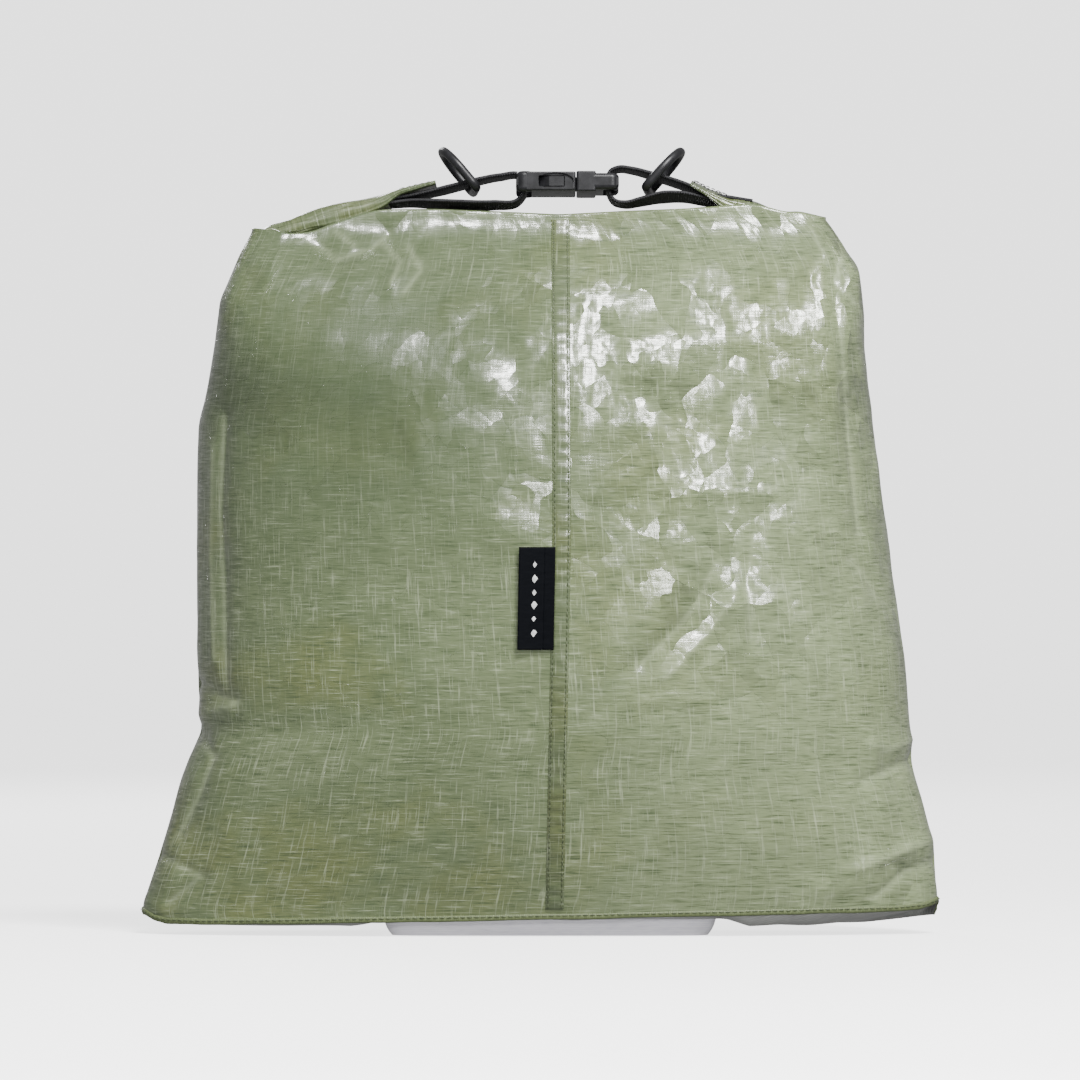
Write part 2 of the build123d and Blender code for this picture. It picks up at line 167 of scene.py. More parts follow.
def gridMesh(name, points, closedU=False, uv=None):
    # a mesh on a grid of points (rows, columns, 3) in millimetres; faces run along rows then columns
    rows, cols = points.shape[:2]
    index = np.arange(rows * cols).reshape(rows, cols)
    nextCol = np.roll(index, -1, axis=1) if closedU else index[:, 1:]
    here = index if closedU else index[:, :-1]
    quads = np.stack([here[:-1], nextCol[:-1], nextCol[1:], here[1:]], axis=-1).reshape(-1, 4)
    mesh = bpy.data.meshes.new(name)
    mesh.vertices.add(rows * cols)
    mesh.vertices.foreach_set("co", (points.reshape(-1, 3) / 1000).astype(np.float32).ravel())
    mesh.loops.add(quads.size)
    mesh.loops.foreach_set("vertex_index", quads.ravel())
    mesh.polygons.add(len(quads))
    mesh.polygons.foreach_set("loop_start", np.arange(0, quads.size, 4))
    mesh.polygons.foreach_set("use_smooth", np.ones(len(quads), bool))
    mesh.update(calc_edges=True)
    if uv is not None:
        layer = mesh.uv_layers.new(name="flat")
        flat = uv.reshape(-1, 2)[quads.ravel()] / 1000
        if closedU:
            span = uv[..., 0].max() / 1000 + (uv[0, 1, 0] - uv[0, 0, 0]) / 1000
            corner = flat.reshape(-1, 4, 2)
            wrapped = corner[:, 1:3, 0] < corner[:, :1, 0] - span / 2
            corner[:, 1:3, 0][wrapped] += span
            flat = corner.reshape(-1, 2)
        layer.data.foreach_set("uv", flat.astype(np.float32).ravel())
    mesh.validate()
    return linked(name, mesh)


def carried(name, centre, side, up, section):
    # a closed section (stations, around, 2) carried along a line, its ends drawn shut:
    # centre + side * across + up * thickness
    section = np.broadcast_to(section, (len(centre),) + np.shape(section)[-2:])
    points = centre[:, None] + side[:, None] * section[..., :1] + up[:, None] * section[..., 1:]
    ends = [centre[k] + side[k] * section[k][:, :1] * 0.985 for k in (0, -1)]
    points = np.concatenate([ends[0][None], points, ends[1][None]])
    around = np.linalg.norm(np.diff(section[0], axis=0, append=section[0][:1]), axis=1)
    run = lengthsAlong(points.mean(axis=1))
    u = np.broadcast_to(np.concatenate([[0], np.cumsum(around)[:-1]])[None], points.shape[:2])
    uv = np.stack([u, np.broadcast_to(run[:, None], points.shape[:2])], axis=-1)
    piece = gridMesh(name, points, True, uv)
    faceOutwards(piece.data)
    return piece


def flatSection(width, thickness, count=28, squareness=0.30):
    # a flattened superellipse, the outline of a strip of webbing or a pressed roll of film
    turn = np.linspace(0, 2 * np.pi, count, endpoint=False) + np.pi / count
    c, s = np.cos(turn), np.sin(turn)
    return np.stack([np.sign(c) * np.abs(c) ** squareness * width / 2,
                     np.sign(s) * np.abs(s) ** 0.6 * thickness / 2], axis=-1)


def stitches(name, lines, pitch, length, width, height):
    # short capsules along lines of (points, normals), each with its ends sunk: five rings of six points
    ring = np.linspace(0, 2 * np.pi, 6, endpoint=False)
    reach = np.array([-1, -0.8, 0, 0.8, 1])
    size = np.array([0.25, 0.8, 1, 0.8, 0.25])
    verts = []
    for points, normals in lines:
        run = lengthsAlong(points)
        count = max(1, int(run[-1] / pitch))
        middle = (np.arange(count) + 0.5) * run[-1] / count
        read = lambda table, at: np.stack([np.interp(at, run, table[:, k]) for k in range(3)], axis=-1)
        centre, normal = read(points, middle), read(normals, middle)
        ahead = read(points, middle + 0.6) - read(points, middle - 0.6)
        ahead /= np.linalg.norm(ahead, axis=1)[:, None]
        normal -= ahead * np.sum(normal * ahead, axis=1)[:, None]
        normal /= np.linalg.norm(normal, axis=1)[:, None]
        across = np.cross(ahead, normal)
        arch = (1 - reach ** 2) * height * 0.5
        raised = arch[:, None] + size[:, None] * np.sin(ring)[None] * height / 2
        sideways = size[:, None] * np.cos(ring)[None] * width / 2
        one = (centre[:, None, None] + ahead[:, None, None] * reach[None, :, None, None] * length / 2
               + normal[:, None, None] * raised[None, ..., None]
               + across[:, None, None] * sideways[None, ..., None])
        verts.append(one.reshape(-1, 3))
    verts = np.concatenate(verts) / 1000
    a = np.arange(24).reshape(4, 6)
    b = np.roll(a, -1, axis=1)
    quads = np.stack([a, a + 6, b + 6, b], axis=-1).reshape(-1, 4)
    starts = np.arange(len(verts) // 30) * 30
    faces = (quads[None] + starts[:, None, None]).reshape(-1, 4).tolist()
    faces += (np.arange(6)[None] + starts[:, None]).tolist()
    faces += (np.arange(29, 23, -1)[None] + starts[:, None]).tolist()
    mesh = bpy.data.meshes.new(name)
    mesh.from_pydata(verts.tolist(), [], faces)
    mesh.polygons.foreach_set("use_smooth", np.ones(len(faces), bool))
    faceOutwards(mesh)
    return linked(name, mesh)


def finished(piece, material, body, stands):
    # what every piece gets: its finish, the body it rides on, the CAD nodes it stands for and its slot
    piece.data.materials.append(material)
    if body:
        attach(piece, body)
    if stands:
        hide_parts(*stands)
    return piece

def newGroup(name, inputs, outputs):
    # a shader node group: an input given as None is a vector, the others are numbers with that default
    group = bpy.data.node_groups.new(name, "ShaderNodeTree")
    for label, value in inputs.items():
        kind = "NodeSocketVector" if value is None else "NodeSocketFloat"
        socket = group.interface.new_socket(label, in_out="INPUT", socket_type=kind)
        if value is not None:
            socket.default_value = value
    for label in outputs:
        group.interface.new_socket(label, in_out="OUTPUT", socket_type="NodeSocketFloat")
    return group, group.nodes.new("NodeGroupInput"), group.nodes.new("NodeGroupOutput")


def fill(tree, slot, value):
    # an input is linked where its value is a socket, and set where it is a number, vector or colour
    if isinstance(value, bpy.types.NodeSocket):
        tree.links.new(value, slot)
    else:
        slot.default_value = value


def setInputs(tree, node, **inputs):
    # an underscore stands for the space in an input's name
    for label, value in inputs.items():
        fill(tree, node.inputs[label.replace("_", " ")], value)
    return node


def newNode(tree, kind, **inputs):
    return setInputs(tree, tree.nodes.new("ShaderNode" + kind), **inputs)


def useGroup(tree, group, **inputs):
    node = tree.nodes.new("ShaderNodeGroup")
    node.node_tree = group
    return setInputs(tree, node, **inputs)


def mathNode(tree, kind, a, b, clamp=False):
    node = tree.nodes.new("ShaderNodeMath")
    node.operation = kind
    node.use_clamp = clamp
    fill(tree, node.inputs[0], a)
    if b is not None:
        fill(tree, node.inputs[1], b)
    return node.outputs[0]


def plus(tree, a, b, clamp=False):
    return mathNode(tree, "ADD", a, b, clamp)


def minus(tree, a, b, clamp=False):
    return mathNode(tree, "SUBTRACT", a, b, clamp)


def times(tree, a, b, clamp=False):
    return mathNode(tree, "MULTIPLY", a, b, clamp)


def threadLines(tree, coords, across, length, seedShift, detail=2.0):
    # noise stretched into fine lines: across lines per metre one way, length the other
    mapping = newNode(tree, "Mapping", Vector=coords, Scale=(length, across, 1),
                      Location=(seedShift, seedShift * 0.37, 0))
    noise = newNode(tree, "TexNoise", Vector=mapping.outputs["Vector"], Scale=1.0, Detail=detail, Roughness=0.6)
    noise.noise_dimensions = "2D"
    return noise.outputs["Fac"]


def makeWeaveGroup():
    # weft and warp streaks of a slubby woven film, on flat coordinates in metres
    group, given, result = newGroup("wovenFilm", {"Flat": None}, ("Weft", "Warp", "Height", "Cloud"))
    flat = given.outputs["Flat"]
    fineWeft = threadLines(group, flat, 1400, 90, 1.3)
    slubWeft = threadLines(group, flat, 620, 34, 7.1, 3)
    weft = plus(group, times(group, fineWeft, 0.68), times(group, slubWeft, 0.32))
    turned = newNode(group, "Mapping", Vector=flat, Rotation=(0, 0, math.radians(90))).outputs["Vector"]
    fineWarp = threadLines(group, turned, 1250, 80, 3.9)
    slubWarp = threadLines(group, turned, 520, 26, 11.7, 3)
    warp = plus(group, times(group, fineWarp, 0.5), times(group, slubWarp, 0.5))
    height = plus(group, times(group, weft, 0.62), times(group, warp, 0.38))
    cloud = threadLines(group, flat, 14, 12, 5.5, 4)
    for name, value in (("Weft", weft), ("Warp", warp), ("Height", height), ("Cloud", cloud)):
        group.links.new(value, result.inputs[name])
    return group


weaveGroup = makeWeaveGroup()


def makeFacetGroup():
    # pressed-in facets: each cell of a bent Voronoi pattern is a flat patch tilted its own way, its height in metres
    group, given, result = newGroup("foldedFacets", {"Flat": None, "Size": 0.015, "Slope": 0.4, "Amount": 1.0},
                                    ("Height",))

    def vectorNode(kind, a, b=None, scale=None):
        node = group.nodes.new("ShaderNodeVectorMath")
        node.operation = kind
        for slot, value in ((0, a), (1, b), ("Scale", scale)):
            if value is not None:
                fill(group, node.inputs[slot], value)
        return node.outputs["Value"] if kind == "DOT_PRODUCT" else node.outputs["Vector"]

    size = given.outputs["Size"]
    cells = vectorNode("SCALE", given.outputs["Flat"], scale=mathNode(group, "DIVIDE", 1.0, size))
    bend = newNode(group, "TexNoise", Vector=cells, Scale=0.45, Detail=3)
    bend.noise_dimensions = "2D"
    away = vectorNode("MULTIPLY", vectorNode("SUBTRACT", bend.outputs["Color"], (0.5, 0.5, 0.5)), (1.9, 1.9, 0))
    bent = vectorNode("ADD", cells, away)
    pattern = newNode(group, "TexVoronoi", Vector=bent, Scale=1.0)
    pattern.voronoi_dimensions = "2D"
    lean = vectorNode("SUBTRACT", pattern.outputs["Color"], (0.5, 0.5, 0.5))
    reach = vectorNode("MULTIPLY", vectorNode("SUBTRACT", bent, pattern.outputs["Position"]), (1, 1, 0))
    tilt = vectorNode("DOT_PRODUCT", lean, reach)
    height = times(group, times(group, tilt, size), given.outputs["Slope"])
    group.links.new(times(group, height, given.outputs["Amount"]), result.inputs["Height"])
    return group


facetGroup = makeFacetGroup()


def newMaterial(name):
    material = bpy.data.materials.new(name)
    material.use_nodes = True
    tree = material.node_tree
    shader = tree.nodes["Principled BSDF"]
    return material, tree, shader


def rampNode(tree, value, stops):
    ramp = tree.nodes.new("ShaderNodeValToRGB")
    ramp.color_ramp.elements[0].position = stops[0][0]
    ramp.color_ramp.elements[0].color = (*stops[0][1], 1)
    ramp.color_ramp.elements[1].position = stops[-1][0]
    ramp.color_ramp.elements[1].color = (*stops[-1][1], 1)
    for position, colour in stops[1:-1]:
        ramp.color_ramp.elements.new(position).color = (*colour, 1)
    return setInputs(tree, ramp, Fac=value).outputs["Color"]


def mixColour(tree, factor, under, colour):
    # a constant colour laid over another by a factor
    mix = tree.nodes.new("ShaderNodeMix")
    mix.data_type = "RGBA"
    for slot, value in ((0, factor), (6, under), (7, (*colour, 1))):
        fill(tree, mix.inputs[slot], value)
    return mix.outputs[2]


def bumpNode(tree, height, strength, depth):
    return newNode(tree, "Bump", Height=height, Strength=strength, Distance=depth)


def flatCoords(tree):
    # the piece's own UV map, in metres over the cloth
    coords = tree.nodes.new("ShaderNodeUVMap")
    coords.uv_map = "flat"
    return coords.outputs["UV"]


film = {
    # dark serves the dark weft threads and also the painted shade on the bag's upper left and under the roll
    "dark": (0.054, 0.076, 0.035),
    "middle": (0.110, 0.142, 0.066),
    "fair": (0.140, 0.176, 0.086),
    # light is painted light, laid over the bag's right side only
    "light": (0.232, 0.282, 0.148),
    "olive": (0.124, 0.148, 0.054),
    "slub": (0.430, 0.490, 0.320),
    "roughness": 0.38,
    "streakRoughness": 0.30,
    "bump": 0.60,
    "bumpDepth": 0.00026,
    "coatLow": 0.30,
    "coatStreak": 5.0,
    "coatRoughness": 0.19,
    "coatIndex": 1.75,
    "facetSize": 0.027,
    "facetSlope": 0.42,
    "smallFacetSize": 0.0105,
    "smallFacetSlope": 0.27,
}


def makeFilm(name, tint=1.0, withPaintedLightAndFacets=False):
    # glossy woven film: cloudy green, darker weft, pale slubs, streaky gloss; on the bag it also mixes in, from the
    # mesh, painted light on the right side, painted shade on the upper left and under the roll, and pale fold
    # whitening, and bumps in pressed-in facets
    material, tree, shader = newMaterial(name)
    flat = flatCoords(tree)
    weave = useGroup(tree, weaveGroup, Flat=flat).outputs
    shade = {key: tuple(v * tint for v in film[key]) for key in ("dark", "middle", "fair", "light", "olive", "slub")}
    base = rampNode(tree, weave["Cloud"], [(0.32, shade["olive"]), (0.50, shade["middle"]), (0.74, shade["fair"])])
    if withPaintedLightAndFacets:
        paintedLightShadeFolds = tree.nodes.new("ShaderNodeAttribute")
        paintedLightShadeFolds.attribute_name = "paintedLightShadeFolds"
        # the bag's per-point painted light and shade, read from the mesh: red painted light, green painted shade, blue
        # fold whitening
        depth = newNode(tree, "SeparateColor", Color=paintedLightShadeFolds.outputs["Color"]).outputs
        # painted light: the right side mixed towards the pale light colour
        base = mixColour(tree, depth["Red"], base, shade["light"])
    darkWeft = times(tree, minus(tree, 0.51, weave["Weft"], True), 4.0, True)
    base = mixColour(tree, darkWeft, base, shade["dark"])
    for thread, start, gain in (("Warp", 0.56, 3.0), ("Weft", 0.575, 3.2)):
        pale = times(tree, minus(tree, weave[thread], start, True), gain, True)
        base = mixColour(tree, pale, base, shade["slub"])
    if withPaintedLightAndFacets:
        # painted shade: mixed towards dark on the upper left and under the roll; then pale whitening along the folds
        base = mixColour(tree, depth["Green"], base, shade["dark"])
        base = mixColour(tree, depth["Blue"], base, shade["slub"])
    rough = plus(tree, film["roughness"] - film["streakRoughness"] * 0.5,
                 times(tree, weave["Height"], film["streakRoughness"]))
    bump = bumpNode(tree, weave["Height"], film["bump"], film["bumpDepth"])
    if withPaintedLightAndFacets:
        large, small = (useGroup(tree, facetGroup, Flat=flat, Size=film[size], Slope=film[slope],
                                 Amount=paintedLightShadeFolds.outputs["Alpha"]).outputs["Height"]
                        for size, slope in (("facetSize", "facetSlope"), ("smallFacetSize", "smallFacetSlope")))
        crinkle = bumpNode(tree, plus(tree, large, small), 1.0, 1.0)
        setInputs(tree, bump, Normal=crinkle.outputs["Normal"])
    gloss = times(tree, minus(tree, weave["Height"], 0.46), film["coatStreak"])
    gloss = mathNode(tree, "MAXIMUM", plus(tree, gloss, 0.5, True), film["coatLow"])
    setInputs(tree, shader, Base_Color=base, Roughness=rough, Normal=bump.outputs["Normal"],
              Coat_Normal=bump.outputs["Normal"], Coat_Weight=gloss, Coat_Roughness=film["coatRoughness"],
              Coat_IOR=film["coatIndex"])
    return material


filmMaterial = makeFilm("sageFilm", withPaintedLightAndFacets=True)
collarFilm = makeFilm("sageFilmDouble", 0.80)
seamFilm = makeFilm("sageFilmSeam", 0.80)


def makeRibGroup():
    # ribs across a woven band and the finer pairs along it, on flat coordinates in metres
    group, given, result = newGroup("ribbedBand", {"Flat": None, "Pitch": 0.0011}, ("Height", "Fleck"))
    parts = newNode(group, "SeparateXYZ", Vector=given.outputs["Flat"])
    wave = lambda value, pitch: mathNode(
        group, "SINE", times(group, value, mathNode(group, "DIVIDE", 2 * math.pi, pitch)), None)
    ribs = wave(parts.outputs["Y"], given.outputs["Pitch"])
    pairs = wave(parts.outputs["X"], times(group, given.outputs["Pitch"], 1.35))
    woven = times(group, ribs, pairs)
    height = plus(group, times(group, woven, 0.35), times(group, ribs, 0.25))
    fleck = threadLines(group, given.outputs["Flat"], 900, 160, 2.2, 3)
    height = plus(group, plus(group, height, 0.5), times(group, fleck, 0.3))
    group.links.new(height, result.inputs["Height"])
    group.links.new(fleck, result.inputs["Fleck"])
    return group


ribGroup = makeRibGroup()


def makeWoven(name, dark, pale, pitch, roughness, bump, depth, specular=0.5):
    # webbing, binding, label cloth and the base's coated cloths: two close shades by the flecks, ribs in the bump
    material, tree, shader = newMaterial(name)
    ribs = useGroup(tree, ribGroup, Flat=flatCoords(tree), Pitch=pitch).outputs
    base = rampNode(tree, times(tree, ribs["Fleck"], ribs["Height"]), [(0.12, dark), (0.55, pale)])
    setInputs(tree, shader, Base_Color=base, Roughness=plus(tree, roughness, times(tree, ribs["Fleck"], 0.18)),
              Normal=bumpNode(tree, ribs["Height"], bump, depth).outputs["Normal"], Specular_IOR_Level=specular)
    return material


def makeGrain(name, dark, pale, roughness, spread, scale, bump, depth):
    # moulded plastic, thread and tape: cloudy shade, patchy gloss and a fine grain, on object coordinates
    material, tree, shader = newMaterial(name)
    place = tree.nodes.new("ShaderNodeTexCoord").outputs["Object"]
    grain = useGroup(tree, grainGroup, Place=place, Scale=scale).outputs
    setInputs(tree, shader, Base_Color=rampNode(tree, grain["Cloud"], [(0.35, dark), (0.65, pale)]),
              Roughness=plus(tree, roughness, times(tree, grain["Cloud"], spread)),
              Normal=bumpNode(tree, grain["Grain"], bump, depth).outputs["Normal"])
    return material


def makeGrainGroup():
    # a broad cloud and a fine grain of noise, on object coordinates
    group, given, result = newGroup("fineGrain", {"Place": None, "Scale": 900.0}, ("Cloud", "Grain"))
    for name, factor, detail in (("Cloud", 0.16, 4), ("Grain", 1.0, 3)):
        noise = newNode(group, "TexNoise", Vector=given.outputs["Place"], Detail=detail,
                        Scale=times(group, given.outputs["Scale"], factor))
        group.links.new(noise.outputs["Fac"], result.inputs[name])
    return group


grainGroup = makeGrainGroup()
webbing = makeWoven("blackWebbing", (0.006, 0.006, 0.007), (0.022, 0.022, 0.024), 0.0012, 0.50, 0.8, 0.00025, 0.30)
binding = makeWoven("greenBinding", (0.080, 0.102, 0.042), (0.135, 0.165, 0.075), 0.0009, 0.45, 0.6, 0.00015)
labelCloth = makeWoven("labelSatin", (0.0015, 0.002, 0.003), (0.004, 0.0045, 0.006), 0.0005, 0.55, 0.5, 0.00008, 0.06)
silver = makeWoven("silverCloth", (0.80, 0.78, 0.86), (0.96, 0.95, 0.99), 0.0010, 0.22, 0.35, 0.00008)
paleFilm = makeWoven("paleBaseFilm", (0.22, 0.225, 0.215), (0.33, 0.335, 0.32), 0.0010, 0.30, 0.35, 0.00008)
greenThread = makeGrain("greenThread", (0.050, 0.066, 0.032), (0.100, 0.122, 0.062), 0.45, 0.2, 3500, 0.5, 0.00008)
blackThread = makeGrain("blackThread", (0.008, 0.008, 0.009), (0.030, 0.030, 0.032), 0.5, 0.2, 3500, 0.5, 0.00008)
paleThread = makeGrain("paleThread", (0.45, 0.46, 0.46), (0.68, 0.69, 0.68), 0.5, 0.2, 3500, 0.5, 0.00008)
mouldedBlack = makeGrain("mouldedBlack", (0.006, 0.006, 0.007), (0.013, 0.013, 0.015), 0.34, 0.16, 1400, 0.30, 0.00006)
tapeFilm = makeGrain("seamTape", (0.40, 0.42, 0.36), (0.55, 0.57, 0.50), 0.35, 0.2, 400, 0.3, 0.0001)
stripPlastic = makeGrain("stiffenerPlastic", (0.02, 0.02, 0.02), (0.04, 0.04, 0.04), 0.4, 0.2, 900, 0.3, 0.0001)
print("materials made")

def creaseLine(x, z, points, width, depth):
    # a fold along a polyline: a sharp ridge whose flanks fall away over its width
    best = np.full(x.shape, 1e9)
    for (xa, za), (xb, zb) in zip(points, points[1:]):
        length2 = (xb - xa) ** 2 + (zb - za) ** 2
        part = np.clip(((x - xa) * (xb - xa) + (z - za) * (zb - za)) / length2, 0, 1)
        best = np.minimum(best, np.hypot(x - xa - part * (xb - xa), z - za - part * (zb - za)))
    return depth * np.exp(-np.sqrt(best ** 2 + 0.16) / width)


# Folds of the front, as (points, half width, height): minus is a valley
frontFolds = [
    ([(-112, 331), (-96, 319), (-80, 324), (-72, 331)], 5.0, -5.0),
    ([(-97, 333), (-88, 326)], 4.0, 3.5),
    ([(-74, 327), (-66, 318), (-70, 308)], 4.5, 3.0),
    ([(-62, 325), (-56, 314), (-64, 303)], 4.0, -2.4),
    ([(-149, 245), (-151, 200), (-149, 160), (-148, 118)], 3.5, -2.6),
    ([(-155, 230), (-156, 180), (-154, 130)], 3.0, 2.0),
    ([(-163, 119), (-150, 113), (-143, 111)], 3.2, -4.0),
    ([(-160, 104), (-150, 107), (-142, 110)], 3.0, 2.6),
    ([(-160, 94), (-154, 84), (-161, 66), (-171, 47)], 4.0, -3.0),
    ([(-180, 37), (-160, 28), (-176, 15)], 3.5, -2.4),
    ([(176, 82), (164, 78), (152, 73)], 3.2, -3.6),
    ([(176, 92), (166, 88), (156, 90)], 3.4, 2.6),
    ([(184, 44), (168, 38), (150, 32)], 3.4, 2.8),
    ([(187, 34), (172, 30), (158, 18)], 3.4, -2.8),
    ([(143, 322), (139, 308), (148, 300)], 3.5, -2.4),
    ([(128, 335), (134, 322), (127, 312)], 4.0, 2.6),
    ([(140, 300), (143, 270), (146, 230), (150, 190)], 3.6, -2.4),
    ([(146, 178), (153, 170), (158, 160)], 3.4, -2.2),
    ([(48, 130), (62, 143), (74, 158), (82, 176)], 5.5, -2.6),
    ([(58, 122), (76, 140), (90, 160)], 5.0, 2.2),
    ([(100, 190), (97, 165), (99, 140)], 3.6, -1.5),
]

# Puffed facets of the front that catch the light: (x, z, half width, half height, turn in degrees, height)
frontFacets = [
    (-8, 285, 12, 15, 20, 2.6), (-39, 296, 7, 10, -30, 1.8), (56, 307, 26, 9, 4, 2.6), (50, 275, 16, 17, -10, 3.0),
    (100, 290, 15, 16, 30, 2.6), (39, 242, 13, 9, 25, 2.0), (136, 250, 8, 26, -8, 2.0), (104, 209, 36, 3.6, 2, 1.4),
    (-16, 192, 12, 10, 0, 1.4), (50, 150, 9, 30, -38, 2.6), (90, 148, 8, 18, 12, 1.8), (64, 112, 22, 3.5, 3, 0.9),
    (152, 25, 26, 11, 8, 2.0), (-88, 320, 8, 5, 15, 1.8), (-64, 307, 7, 11, -25, 2.0), (128, 318, 10, 8, 35, 2.0),
    (20, 262, 4, 40, 0, 0.9), (14, 230, 5, 30, 0, 0.7), (78, 258, 9, 12, 40, 1.6), (76, 318, 12, 6, -12, 1.6),
    (-24, 262, 9, 12, 35, 1.5), (-8, 232, 8, 10, -15, 1.2), (-60, 236, 5, 14, 18, 0.9), (118, 232, 14, 8, -20, 1.2),
]


def puffs(x, z):
    # each facet is a bell with a blunt top: exp(-r^3), r the oval distance from its middle
    total = np.zeros(x.shape)
    for cx, cz, a, b, turn, height in frontFacets:
        c, s = math.cos(math.radians(turn)), math.sin(math.radians(turn))
        dx, dz = x - cx, z - cz
        reach = np.hypot((dx * c + dz * s) / a, (dz * c - dx * s) / b)
        total += height * np.exp(-reach ** 3)
    return total


def crumpleAt(x, z, phi, front):
    # creasing of the film in millimetres, outwards: strongest at the upper middle and right of the front
    girth = bag["girth"]
    u = phi / (2 * np.pi) * girth
    seed = bag["seed"]
    upper = np.exp(-((x - 62) / 88) ** 2 - ((z - 272) / 58) ** 2)
    mid = np.exp(-((x - 84) / 52) ** 2 - ((z - 160) / 46) ** 2)
    shoulders = np.exp(-((z - 326) / 20) ** 2)
    corners = np.exp(-((np.abs(x) - 172) / 26) ** 2 - ((z - 50) / 60) ** 2)
    sides = np.exp(-((np.abs(x) - 158) / 13) ** 2)
    frontMask = 0.10 + 1.0 * upper + 0.5 * mid + 0.55 * shoulders + 0.35 * corners + 0.45 * sides
    backMask = 0.30 + 0.7 * shoulders + 0.45 * sides + 0.45 * np.exp(-((z - 230) / 80) ** 2 - ((x + 30) / 90) ** 2)
    mask = np.where(front, frontMask, backMask)
    broad = (smoothNoise(u, z, 95, seed, girth) - 0.5) * 3.2
    large = facetNoise(u, z, 34, seed + 1, girth) * 5.0
    medium = facetNoise(u * 0.92 + z * 0.38, z * 0.92 - u * 0.38, 15, seed + 2) * 2.4
    small = facetNoise(u, z, 7.5, seed + 3, girth) * 0.75
    return bag["crumple"] * (broad + mask * (large + medium + small))


def bagSurface(phi, share):
    # an oval ring at each height between the bag's edges, from the hem up to the crease, plus its creasing
    phi, share = np.meshgrid(phi, share)
    side = np.cos(phi)
    hem = along(hemEdge, side * bag["halfWidth"])
    top = along(topEdge, side * bag["halfMouth"])
    front = np.sin(phi) < 0
    hem = np.where(front, hem, np.minimum(hem, 9.5))
    z = hem + (top - hem) * share
    left, right, depth = along(leftEdge, z), along(rightEdge, z), along(halfDepth, z)
    x = (left + right) / 2 + (right - left) / 2 * side
    # an oval low down, squarer towards the pressed mouth: |x|^n + |y|^n = 1
    press = np.clip((z - 235) / 107, 0, 1)
    power = 2 + 4 * press * press * (3 - 2 * press)
    y = depth * np.sign(np.sin(phi)) * np.clip(1 - np.abs(side) ** power, 0, 1) ** (1 / power)
    # outward direction of the oval
    nx, ny = side / ((right - left) / 2), np.sin(phi) / depth
    size = np.hypot(nx, ny)
    nx, ny = nx / size, ny / size
    off = crumpleAt(x, z, phi, front) + np.where(front, puffs(x, z), 0)
    for points, width, height in frontFolds:
        off += np.where(front, creaseLine(x, z, points, width, height), 0)
    ease = np.clip(share / 0.03, 0, 1) * np.clip((1 - share) / 0.03, 0.15, 1)
    nearSeam = np.where(front, np.exp(-((x - along(seamLine, z)) / 6.5) ** 2), 0)
    off = off * ease * (1 - 0.65 * nearSeam)
    return x + nx * off * 0.55, y + ny * off, z


seamLine = [(0, 6.7), (187, 10.2), (342, 9.7)]       # height, and where the front seam is across the bag


def onFront(xWanted, share, lift):
    # the front surface at places across the bag, one row per share of the height, lifted off it towards the front
    phi = np.linspace(-np.pi + 0.2, -0.2, 900)
    x, y, z = bagSurface(phi, share)
    rows = range(len(share))
    yAt = np.stack([np.interp(xWanted[r], x[r], y[r]) for r in rows])
    zAt = np.stack([np.interp(xWanted[r], x[r], z[r]) for r in rows])
    return np.stack([xWanted, yAt - lift, zAt], axis=-1)


def paintedLightShadeFoldsOf(x, y, z):
    # painted light and shade on the film at each point: a painted lit right side, painted shade on the upper left and
    # in a band under the roll, pale whitening along the folds, and how strongly creased it is
    front = y < 0
    # painted light: the right side is made paler, standing for the light falling from the right
    right = 1 / (1 + np.exp(-(x - 30) / 26))
    pale = 0.80 * right * (0.70 + 0.30 * np.exp(-((z - 70) / 120) ** 2))
    # painted shade: darker on the upper left, and in a thin band just under the roll
    dark = 0.88 * (1 - right) * np.exp(-((x + 80) / 92) ** 2 - ((z - 262) / 84) ** 2)
    dark += 0.20 * np.exp(-((z - 332) / 9) ** 2)
    fold = np.zeros(x.shape)
    for points, *_ in frontFolds:
        fold += creaseLine(x, z, points, 0.9, 0.35)
    creased = (0.14 + np.exp(-((x - 60) / 104) ** 2 - ((z - 262) / 72) ** 2)
               + 0.8 * np.exp(-((x - 88) / 58) ** 2 - ((z - 165) / 52) ** 2))
    creased += 0.35 * np.exp(-((z - 318) / 18) ** 2) + 0.4 * np.exp(-((x - 160) / 30) ** 2 - ((z - 30) / 16) ** 2)
    creased = np.where(front, creased, 0.25 + 0.5 * np.exp(-((z - 250) / 80) ** 2))
    return np.stack([pale, dark, np.where(front, np.clip(fold, 0, 0.5), 0), np.clip(creased, 0, 1)], axis=-1)


